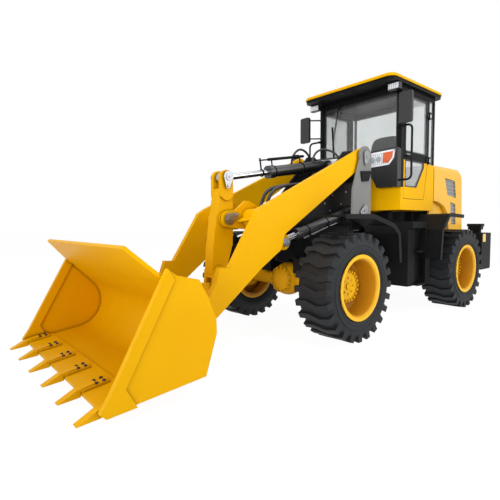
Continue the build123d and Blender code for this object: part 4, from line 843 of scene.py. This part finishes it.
lines = bmesh.new()
clips = bmesh.new()
for s in SIDES:
    pipe_y = s * PIPE_Y
    put_rod(lines, by_lift(pipe_y, 0.12, PIPE_BELOW), by_lift(pipe_y, 0.985, PIPE_BELOW), 0.009, sides=14)
    for along in (0.2, 0.52, 0.84):
        put_ring(clips, by_lift(s * BARREL_Y, along, 0), lift_run, 0.053, 0.006, around=36)
        saddle = [by_lift(pipe_y, along + end * 0.014, PIPE_BELOW) for end in (-1, 1)]
        put_rod(clips, *saddle, 0.014)
    put_rod(clips, by_lift(pipe_y, 0.955, PIPE_BELOW), by_lift(pipe_y, 1.0, PIPE_BELOW), 0.017, sides=6)
piece("lift_oil_pipes", "lift_cylinders", chrome_rod, lines)
piece("lift_pipe_clips", "lift_cylinders", black_enamel, clips)

# %% [markdown]
# ## The bucket level rod
# A thin rod above the tilt cylinder slides through a guide and tells the operator when the bucket floor
# is level. The guide is clamped to the barrel and the rod to the piston rod, so they are two pieces on
# two bodies, and they slide past each other as the bucket tilts.

# %% Level rod and guide
GUIDE_ABOVE = 0.135
tilt_foot = Vector((-0.100, 0, 1.895))
tilt_run = (Vector((TILT_EYE[0], 0, TILT_EYE[1])) - tilt_foot).normalized()
tilt_above = Vector((-tilt_run.z, 0, tilt_run.x))


def by_tilt(along, above):
    """Point over the tilt cylinder, measured from its foot."""
    return tilt_foot + tilt_run * along + tilt_above * above


guide = bmesh.new()
for along in (0.42, 0.88):
    put_ring(guide, by_tilt(along, 0), tilt_run, 0.064, 0.007, around=36)
    put_rod(guide, by_tilt(along, 0.06), by_tilt(along, 0.14), 0.008)
put_rod(guide, by_tilt(0.36, GUIDE_ABOVE), by_tilt(0.93, GUIDE_ABOVE), 0.016)
put_rod(guide, by_tilt(0.44, GUIDE_ABOVE), by_tilt(0.52, GUIDE_ABOVE), 0.024)
piece("level_rod_guide", "tilt_cylinder", black_enamel, guide)
pointer = bmesh.new()
put_rod(pointer, by_tilt(0.34, GUIDE_ABOVE), by_tilt(1.06, GUIDE_ABOVE), 0.008)
put_rod(pointer, by_tilt(1.05, 0.16), by_tilt(1.05, 0), 0.009)
put_ring(pointer, by_tilt(1.05, 0), tilt_run, 0.034, 0.008, around=32)
piece("level_rod", "tilt_rod", black_enamel, pointer)

# %% [markdown]
# ## Hydraulic hoses
# A pressure hose is extruded rubber over steel braid, and the braid shows through as a dull, knobbly skin
# with a grain of about 2 mm, drawn at 5 mm. A hose is a NURBS curve with a round bevel: a few points set
# its route and the curve gives the smooth bend of something stiff, where a chain of straight tubes would
# look like bent wire. The bare curve is turned into a mesh once, and that mesh is removed again.

# %% Hose rubber
BRAID_MM = 5
hose_rubber, tree, place = blank_finish("braided_hose_rubber")
braid = add(tree, "TexVoronoi", {"Scale": 1 / (BRAID_MM * MM)}, {"Vector": place})
tint = add(tree, "Mix", {"data_type": "RGBA", 6: colour("#151516"), 7: colour("#232324")},
           {0: braid.outputs[0]})
relief = add(tree, "Bump", {"Strength": 0.2, "Distance": 0.5 * MM}, {"Height": braid.outputs[0]})
skin = add(tree, "BsdfPrincipled", {"Roughness": 0.5},
           {"Base Color": tint.outputs[2], "Normal": relief.outputs[0]})
add(tree, "OutputMaterial", None, {"Surface": skin.outputs[0]})
print("hose braid is drawn at", BRAID_MM, "mm")

# %% Hose on a route
CURVE_STEPS = 16


def hose(name, body, route, diameter):
    """Rubber hose on a smooth route."""
    line = bpy.data.curves.new(name, "CURVE")
    line.dimensions = "3D"
    line.resolution_u = CURVE_STEPS
    spline = line.splines.new("NURBS")
    spline.points.add(len(route) - 1)
    for point, at in zip(spline.points, route):
        point.co = (*at, 1)
    spline.order_u = 3
    spline.use_endpoint_u = True
    made = bpy.data.objects.new(name, line)
    bpy.context.scene.collection.objects.link(made)
    bpy.context.view_layer.update()
    bare = bpy.data.meshes.new_from_object(made)
    bpy.data.meshes.remove(bare)
    line.bevel_depth = diameter / 2
    line.bevel_resolution = 4
    line.use_fill_caps = True
    line.materials.append(hose_rubber)
    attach(made, body)
    return made


print("a hose has", CURVE_STEPS, "steps between points")

# %% [markdown]
# Two hoses feed the tilt cylinder. They leave its two ports, rise in a loop that has slack for the
# cylinder's swing, and go down behind the tower. Two thicker ones run from the cross tube back along the
# boom, between the arms, and up to the tower's pins.

# %% Tilt and boom hoses
TILT_HOSE = 0.026
BOOM_HOSE = 0.034
for i, s in enumerate(SIDES):
    hose("tilt_hose_%d" % (i + 1), "tilt_cylinder", [
        (0.14 + 0.30 * i, s * 0.03, 1.905 - 0.055 * i),
        (0.13 + 0.30 * i, s * 0.035, 1.99 - 0.04 * i),
        (0.04 + 0.24 * i, s * 0.06, 2.07),
        (-0.08 + 0.14 * i, s * 0.13, 2.06),
        (-0.15 + 0.06 * i, s * 0.20, 1.98),
        (-0.17 + 0.03 * i, s * 0.245, 1.87),
        (-0.18, s * 0.255, 1.80),
    ], TILT_HOSE)

for i, (y, y_tower) in enumerate(((0.200, 0.245), (0.290, 0.320))):
    hose("boom_hose_%d" % (i + 1), "boom", [
        (1.150, y, 1.290),
        (1.115, y, 1.420),
        (1.030, y, 1.530),
        (0.820, y, 1.580),
        (0.450, (y + y_tower) / 2, 1.620),
        (0.150, y_tower - 0.02 + 0.02 * i, 1.720),
        (-0.030, y_tower, 1.830),
        (-0.110, y_tower, 1.885),
    ], BOOM_HOSE)

# %% [markdown]
# ## Door seals, handles and hinges
# Around each pane runs a black rubber seal, which hides the glued edge of the glass. A curve with a flat
# profile could follow it, but all its edges are straight, so one thin plate for each edge is enough. A
# pull handle and the hinge bolts finish the door, and all of them swing with it.


# %% Seal shape
def put_seal(mesh, outline, axis, low, high, width):
    """Flat frame that follows an outline, set inside it by its width."""
    middle = Vector((sum(a for a, b in outline) / len(outline), sum(b for a, b in outline) / len(outline)))
    for i in range(len(outline)):
        a, b = Vector(outline[i]), Vector(outline[(i + 1) % len(outline)])
        inward = Vector((-(b - a).y, (b - a).x)).normalized()
        if inward.dot(middle - a) < 0:
            inward = -inward
        put_plate(mesh, [a, b, b + inward * width, a + inward * width], axis, low, high)


pane_low, pane_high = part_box("left_door_glass")
print("door panes reach from x", round(pane_low.x, 3), "to", round(pane_high.x, 3))

# %% Door trim
PANE_SPLIT = 2.070
SEAL_WIDTH = 0.014
HANDLE_Z = 2.035
HINGE_X = -1.468
HINGE_Z = (2.012, 2.600)
UPPER = rectangle(pane_low.x, PANE_SPLIT, pane_high.x, pane_high.z)
LOWER = [(pane_high.x, 1.632), (-1.208, 1.632), (-1.405, 1.905), (-1.405, 1.972), (pane_high.x, 1.972)]
for s, door in ((1, "left_door"), (-1, "right_door")):
    seals = bmesh.new()
    for outline in (UPPER, LOWER):
        put_seal(seals, outline, "y", *across(s, 0.6285, 0.6425), SEAL_WIDTH)
    piece(door + "_seals", door, grained_abs, seals)
    handle = bmesh.new()
    put_rod(handle, (-1.02, s * 0.665, HANDLE_Z), (-0.92, s * 0.665, HANDLE_Z), 0.009)
    put_rod(handle, (-0.925, s * 0.638, HANDLE_Z), (-0.925, s * 0.668, HANDLE_Z), 0.014)
    piece(door + "_handle", door, pin_steel, handle, bevel=0.001)
    hinge_bolts = bmesh.new()
    for z in HINGE_Z:
        for dz in (-0.013, 0.013):
            put_rod(hinge_bolts, (HINGE_X, s * 0.648, z + dz), (HINGE_X, s * 0.655, z + dz), 0.006, sides=6)
    piece(door + "_hinge_bolts", door, pin_steel, hinge_bolts)

# %% [markdown]
# ## Wiper and windscreen seal
# The wiper hangs from the roof edge on a twin arm, and its blade is a thin strip that lies on the glass.
# It is three rods and a plate. The windscreen's seal is made in the same way as the doors'.

# %% Wiper
CAB_FRONT = -0.815
WIPER_Z = 2.79
wiper = bmesh.new()
put_rod(wiper, (CAB_FRONT - 0.012, -0.30, WIPER_Z), (CAB_FRONT + 0.014, -0.30, WIPER_Z), 0.02)
put_rod(wiper, (CAB_FRONT + 0.008, -0.30, WIPER_Z), (CAB_FRONT - 0.006, -0.417, 2.27), 0.006)
put_rod(wiper, (CAB_FRONT + 0.008, -0.315, WIPER_Z), (CAB_FRONT - 0.006, -0.424, 2.34), 0.004)
blade = [(-0.44, 2.55), (-0.428, 2.55), (-0.385, 1.95), (-0.397, 1.95)]
put_plate(wiper, blade, "x", CAB_FRONT - 0.0297, CAB_FRONT - 0.002)
piece("wiper", "rear_frame", black_enamel, wiper)

# %% Windscreen seal
screen_seal = bmesh.new()
screen_edge = rectangle(-0.577, 1.766, 0.577, 2.803)
put_seal(screen_seal, screen_edge, "x", CAB_FRONT - 0.029, CAB_FRONT - 0.018, 0.022)
piece("windscreen_seal", "rear_frame", grained_abs, screen_seal)

# %% [markdown]
# ## Mirrors
# A mirror is float glass silvered on its back, so it is a metal to the eye, very smooth, with a faint
# bloom. Its glass is a thin plate with cut corners, let into the rear face of the moulded housing.

# %% Silvered glass
BLOOM_MM = 80
mirror_glass, tree, place = blank_finish("silvered_mirror")
bloom = add(tree, "TexNoise", {"Scale": 1 / (BLOOM_MM * MM), "Detail": 2.0}, {"Vector": place})
gloss = add(tree, "MapRange", {"To Min": 0.02, "To Max": 0.08}, {"Value": bloom.outputs[0]})
silver = add(tree, "BsdfPrincipled", {"Base Color": colour("#D8DCDE"), "Metallic": 1.0},
             {"Roughness": gloss.outputs[0]})
add(tree, "OutputMaterial", None, {"Surface": silver.outputs[0]})
print("mirror bloom is", BLOOM_MM, "mm wide")

# %% Mirror faces
MIRROR_CUT = 0.02
mirror_faces = bmesh.new()
for s in SIDES:
    y0, y1 = across(s, 0.715, 0.850)
    cut0, cut1 = y0 + MIRROR_CUT, y1 - MIRROR_CUT
    outline = [(y0, 2.385), (cut0, 2.368), (cut1, 2.368), (y1, 2.385),
               (y1, 2.685), (cut1, 2.702), (cut0, 2.702), (y0, 2.685)]
    put_plate(mirror_faces, outline, "x", -0.6695, -0.6672)
piece("mirror_glasses", "rear_frame", mirror_glass, mirror_faces)

# %% [markdown]
# ## Head lamps
# Each lamp shows two silvered bowls with a bulb shield in the middle, an amber direction indicator at its
# outer end, and a white bezel around the whole. They stand a few millimetres proud of the CAD lens,
# because a clear lens in front of them would only blur them at this size.

# %% Head lamps
LENS_X = CAB_FRONT + 0.0885
LENS_EDGE = [(0.212, 1.887), (0.240, 2.070), (0.610, 2.085), (0.595, 1.980), (0.530, 1.900)]
AMBER_EDGE = [(0.440, 1.935), (0.448, 2.055), (0.585, 2.062), (0.575, 1.990), (0.520, 1.930)]
BOWLS = ((0.293, 1.978), (0.382, 1.984))
bezels = bmesh.new()
bowls = bmesh.new()
ambers = bmesh.new()
for s in SIDES:
    put_seal(bezels, [(s * y, z) for y, z in LENS_EDGE], "x", LENS_X - 0.001, LENS_X + 0.006, 0.020)
    for y, z in BOWLS:
        put_rod(bowls, (LENS_X - 0.002, s * y, z), (LENS_X + 0.004, s * y, z), 0.040, sides=36, tip=0.034)
        put_rod(bowls, (LENS_X + 0.003, s * y, z), (LENS_X + 0.010, s * y, z), 0.016, sides=24, tip=0.010)
    put_plate(ambers, [(s * y, z) for y, z in AMBER_EDGE], "x", LENS_X - 0.001, LENS_X + 0.007)
piece("head_lamp_bezels", "rear_frame", white_bezel, bezels, bevel=0.001)
piece("head_lamp_bowls", "rear_frame", silver_bowl, bowls)
piece("direction_indicators", "rear_frame", amber_lens, ambers, bevel=0.002)

# %% [markdown]
# ## The operator's chair
# Foam under cloth never has a flat face: the cushion is crowned, its sides pull in, and the back leans.
# Cloth simulation could puff up a box, but the chair shows only through glass. So each pad starts as a
# ball whose points are pushed out towards a box with rounded corners, then crowned, leaned back and
# subdivided. The pads stand in for the plain CAD chair, in the same place, on a moulded stand.

# %% Pad shape
SQUARENESS = 6


def put_pad(mesh, low, high, lean, crown):
    """Stuffed pad: a ball pushed out to a rounded box, crowned, and leaning back with height."""
    ball = bmesh.ops.create_uvsphere(mesh, u_segments=40, v_segments=24, radius=1.0)
    middle = (Vector(low) + Vector(high)) / 2
    half = (Vector(high) - Vector(low)) / 2
    for v in ball["verts"]:
        p = v.co
        size = (abs(p.x) ** SQUARENESS + abs(p.y) ** SQUARENESS + abs(p.z) ** SQUARENESS) ** (1 / SQUARENESS)
        q = p / size
        bulge = 1 + crown * (1 - q.y * q.y)
        v.co = middle + Vector((q.x * half.x * bulge, q.y * half.y, q.z * half.z * (1 + 0.3 * (bulge - 1))))
        v.co.x += lean * (v.co.z - low[2])


print("pads are squared by a power of", SQUARENESS)

# %% Chair pads
pads = bmesh.new()
put_pad(pads, (-1.49, -0.245, 1.645), (-1.05, 0.245, 1.788), 0.0, 0.03)
put_pad(pads, (-1.505, -0.225, 1.765), (-1.405, 0.225, 2.425), -0.14, 0.10)
chair = piece("chair_pads", "rear_frame", chair_cloth, pads)
fuller = chair.modifiers.new("foam", "SUBSURF")
fuller.levels = 1
fuller.render_levels = 1
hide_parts("operator_chair")

# %% Chair stand
stand = bmesh.new()
put_plate(stand, rectangle(-1.47, -0.16, -1.13, 0.16), "z", 1.379, 1.42)
put_plate(stand, [(-1.44, -0.13), (-1.16, -0.13), (-1.20, 0.13), (-1.40, 0.13)], "z", 1.42, 1.646)
piece("chair_stand", "rear_frame", grained_abs, stand, bevel=0.006)

# %% [markdown]
# ## Vent screens
# Behind the louvres stands a mesh of galvanised wire, woven and pressed flat, that hides the engine. Real
# wires would take a million faces, so a brick pattern in the material draws them: its mortar is the
# bright wire and its bricks are the holes. The holes are about 5 mm wide and are drawn far coarser so
# that they show.

# %% Wire mesh
WIRE_MESH_MM = 60
wire_mesh, tree, place = blank_finish("woven_wire_mesh")
wire_tones = {"Color1": colour("#5A5A59"), "Color2": colour("#666665"), "Mortar": colour("#8E8E8C")}
wires = add(tree, "TexBrick", {"Scale": 1 / (WIRE_MESH_MM * MM), **wire_tones}, {"Vector": place})
relief = add(tree, "Bump", {"Strength": 0.4, "Distance": 1 * MM}, {"Height": wires.outputs[1]})
steel = add(tree, "BsdfPrincipled", {"Roughness": 0.6},
            {"Base Color": wires.outputs[0], "Normal": relief.outputs[0]})
add(tree, "OutputMaterial", None, {"Surface": steel.outputs[0]})
print("wire mesh is set to", WIRE_MESH_MM, "mm")

# %% Vent screens
VENT_EDGE = [(-2.02, 1.85), (-2.46, 1.85), (-2.48, 1.13), (-2.24, 1.13), (-2.20, 1.52), (-2.10, 1.55)]
screens = bmesh.new()
for s in SIDES:
    put_plate(screens, VENT_EDGE, "y", *across(s, 0.608, 0.6155))
put_plate(screens, rectangle(-0.40, 1.20, 0.40, 1.74), "x", -2.672, -2.660)
piece("vent_screens", "hood", wire_mesh, screens)

# %% [markdown]
# ## Weight fittings, mud flaps and brackets
# The counterweight is lifted by two eyes and has a tow pin with a ring to pull it by. Below the cab,
# plates and flaps behind the steps keep mud off the frame. A bracket on each side ties the front fender
# to the tower, and a black clamp plate lies below each arm's foot. All are plain plates, rods and rings.

# %% Weight fittings
TOW_X = -3.138
fittings = bmesh.new()
for s in SIDES:
    put_ring(fittings, (-2.98, s * 0.42, 1.035), (0, 1, 0), 0.045, 0.013)
put_rod(fittings, (TOW_X, 0, 0.50), (TOW_X, 0, 1.045), 0.022)
put_ring(fittings, (TOW_X, 0, 1.06), (0, 1, 0), 0.03, 0.008)
piece("weight_fittings", "rear_frame", pin_steel, fittings)

# %% Mud flaps
FLAP_REAR = -1.315
FLAP_LOW, FLAP_HIGH = 0.392, 1.10
flaps = bmesh.new()
for s in SIDES:
    y0, y1 = across(s, 0.640, 0.796)
    put_plate(flaps, rectangle(FLAP_REAR, FLAP_LOW, -1.196, FLAP_HIGH), "y", *across(s, 0.781, 0.791))
    put_plate(flaps, rectangle(FLAP_REAR, y0, -1.305, y1), "z", FLAP_LOW, FLAP_HIGH)
    put_plate(flaps, rectangle(FLAP_REAR, FLAP_LOW, -1.00, FLAP_HIGH), "y", *across(s, 0.688, 0.698))
piece("step_mud_flaps", "rear_frame", frame_enamel, flaps, bevel=0.003)

# %% Brackets and clamps
CLAMP_EDGE = [(-0.080, 1.765), (-0.296, 1.785), (-0.237, 1.664), (-0.107, 1.651)]
brackets = bmesh.new()
clamps = bmesh.new()
for s in SIDES:
    put_plate(brackets, rectangle(-0.07, 1.10, 0.11, 1.178), "y", *across(s, 0.549, 0.577))
    put_plate(clamps, CLAMP_EDGE, "y", *across(s, 0.549, 0.566))
piece("fender_brackets", "front_frame", frame_enamel, brackets, bevel=0.002)
piece("tower_clamps", "front_frame", black_enamel, clamps, bevel=0.004)

# %% [markdown]
# ## Tail lamps and reflectors
# A tail lamp is a sealed box below its bracket, with a red lens across the bracket's rear edge. The
# counterweight's sides have plain yellow reflectors, a few millimetres thick.

# %% Tail lamps and reflectors
boxes = bmesh.new()
blanks = bmesh.new()
tails = bmesh.new()
for s in SIDES:
    y0, y1 = across(s, 0.66, 0.85)
    put_plate(boxes, rectangle(-2.952, y0, -2.848, y1), "z", 1.066, 1.1145)
    put_plate(blanks, rectangle(-2.905, 0.880, -2.800, 1.000), "y", *across(s, 0.9003, 0.904))
    y0, y1 = across(s, 0.67, 0.84)
    put_plate(tails, rectangle(y0, 1.124, y1, 1.148), "x", -2.974, -2.9685)
piece("tail_lamp_boxes", "rear_frame", black_enamel, boxes, bevel=0.004)
piece("side_reflectors", "rear_frame", yellow_reflector, blanks)
piece("tail_lenses", "rear_frame", red_lens, tails)

# %% [markdown]
# ## Bucket tooth bolts
# Each bucket tooth wears out and is bolted on through its strap with four bolts. The strap slopes, so a
# bolt's height follows its distance from the lip. The bolts are yellow on the real bucket; here they are
# dark iron, as painted shade for the small dark marks that their edges make.

# %% Tooth bolts
TEETH = 6
TOOTH_REACH = 0.988 - 0.062
LIP_X = 3.060
STRAP_TOP = 0.068 + 0.018 + 0.012
STRAP_SLOPE = 0.14
bolts = bmesh.new()
for i in range(TEETH):
    y = (2 * i / (TEETH - 1) - 1) * TOOTH_REACH
    for dx in (-0.15, -0.10):
        for dy in (-0.030, 0.030):
            z = STRAP_TOP - dx * STRAP_SLOPE
            put_rod(bolts, (LIP_X + dx, y + dy, z), (LIP_X + dx, y + dy, z + 0.016), 0.0125, sides=6)
# painted shade: the bolts are dark instead of yellow, for the shade at their edges
piece("tooth_bolts", "bucket", cast_iron, bolts, bevel=0.001)

# %% [markdown]
# ## Treads on the steps
# The step plates are bar-treaded so that a boot grips them: short raised bars across each plate. Bump
# would do from afar, but the bars are seen edge on from the side, so they are real.

# %% Step treads
BAR_PITCH = 0.021
BAR_WIDTH = 0.009
STEP_TOPS = (0.405, 0.825)
PLATFORM_TOP = 1.190


def put_bars(mesh, side, count, start, inner, outer, top):
    """Row of raised bars across one step plate."""
    y0, y1 = across(side, inner, outer)
    for i in range(count):
        x = start + BAR_PITCH * i
        put_plate(mesh, rectangle(x, y0, x + BAR_WIDTH, y1), "z", top - 0.001, top + 0.005)


bars = bmesh.new()
for s in SIDES:
    for top in STEP_TOPS:
        put_bars(bars, s, 9, -1.165, 0.70, 0.795, top)
    put_bars(bars, s, 16, -1.175, 0.66, 0.79, PLATFORM_TOP)
piece("step_bars", "rear_frame", frame_enamel, bars)
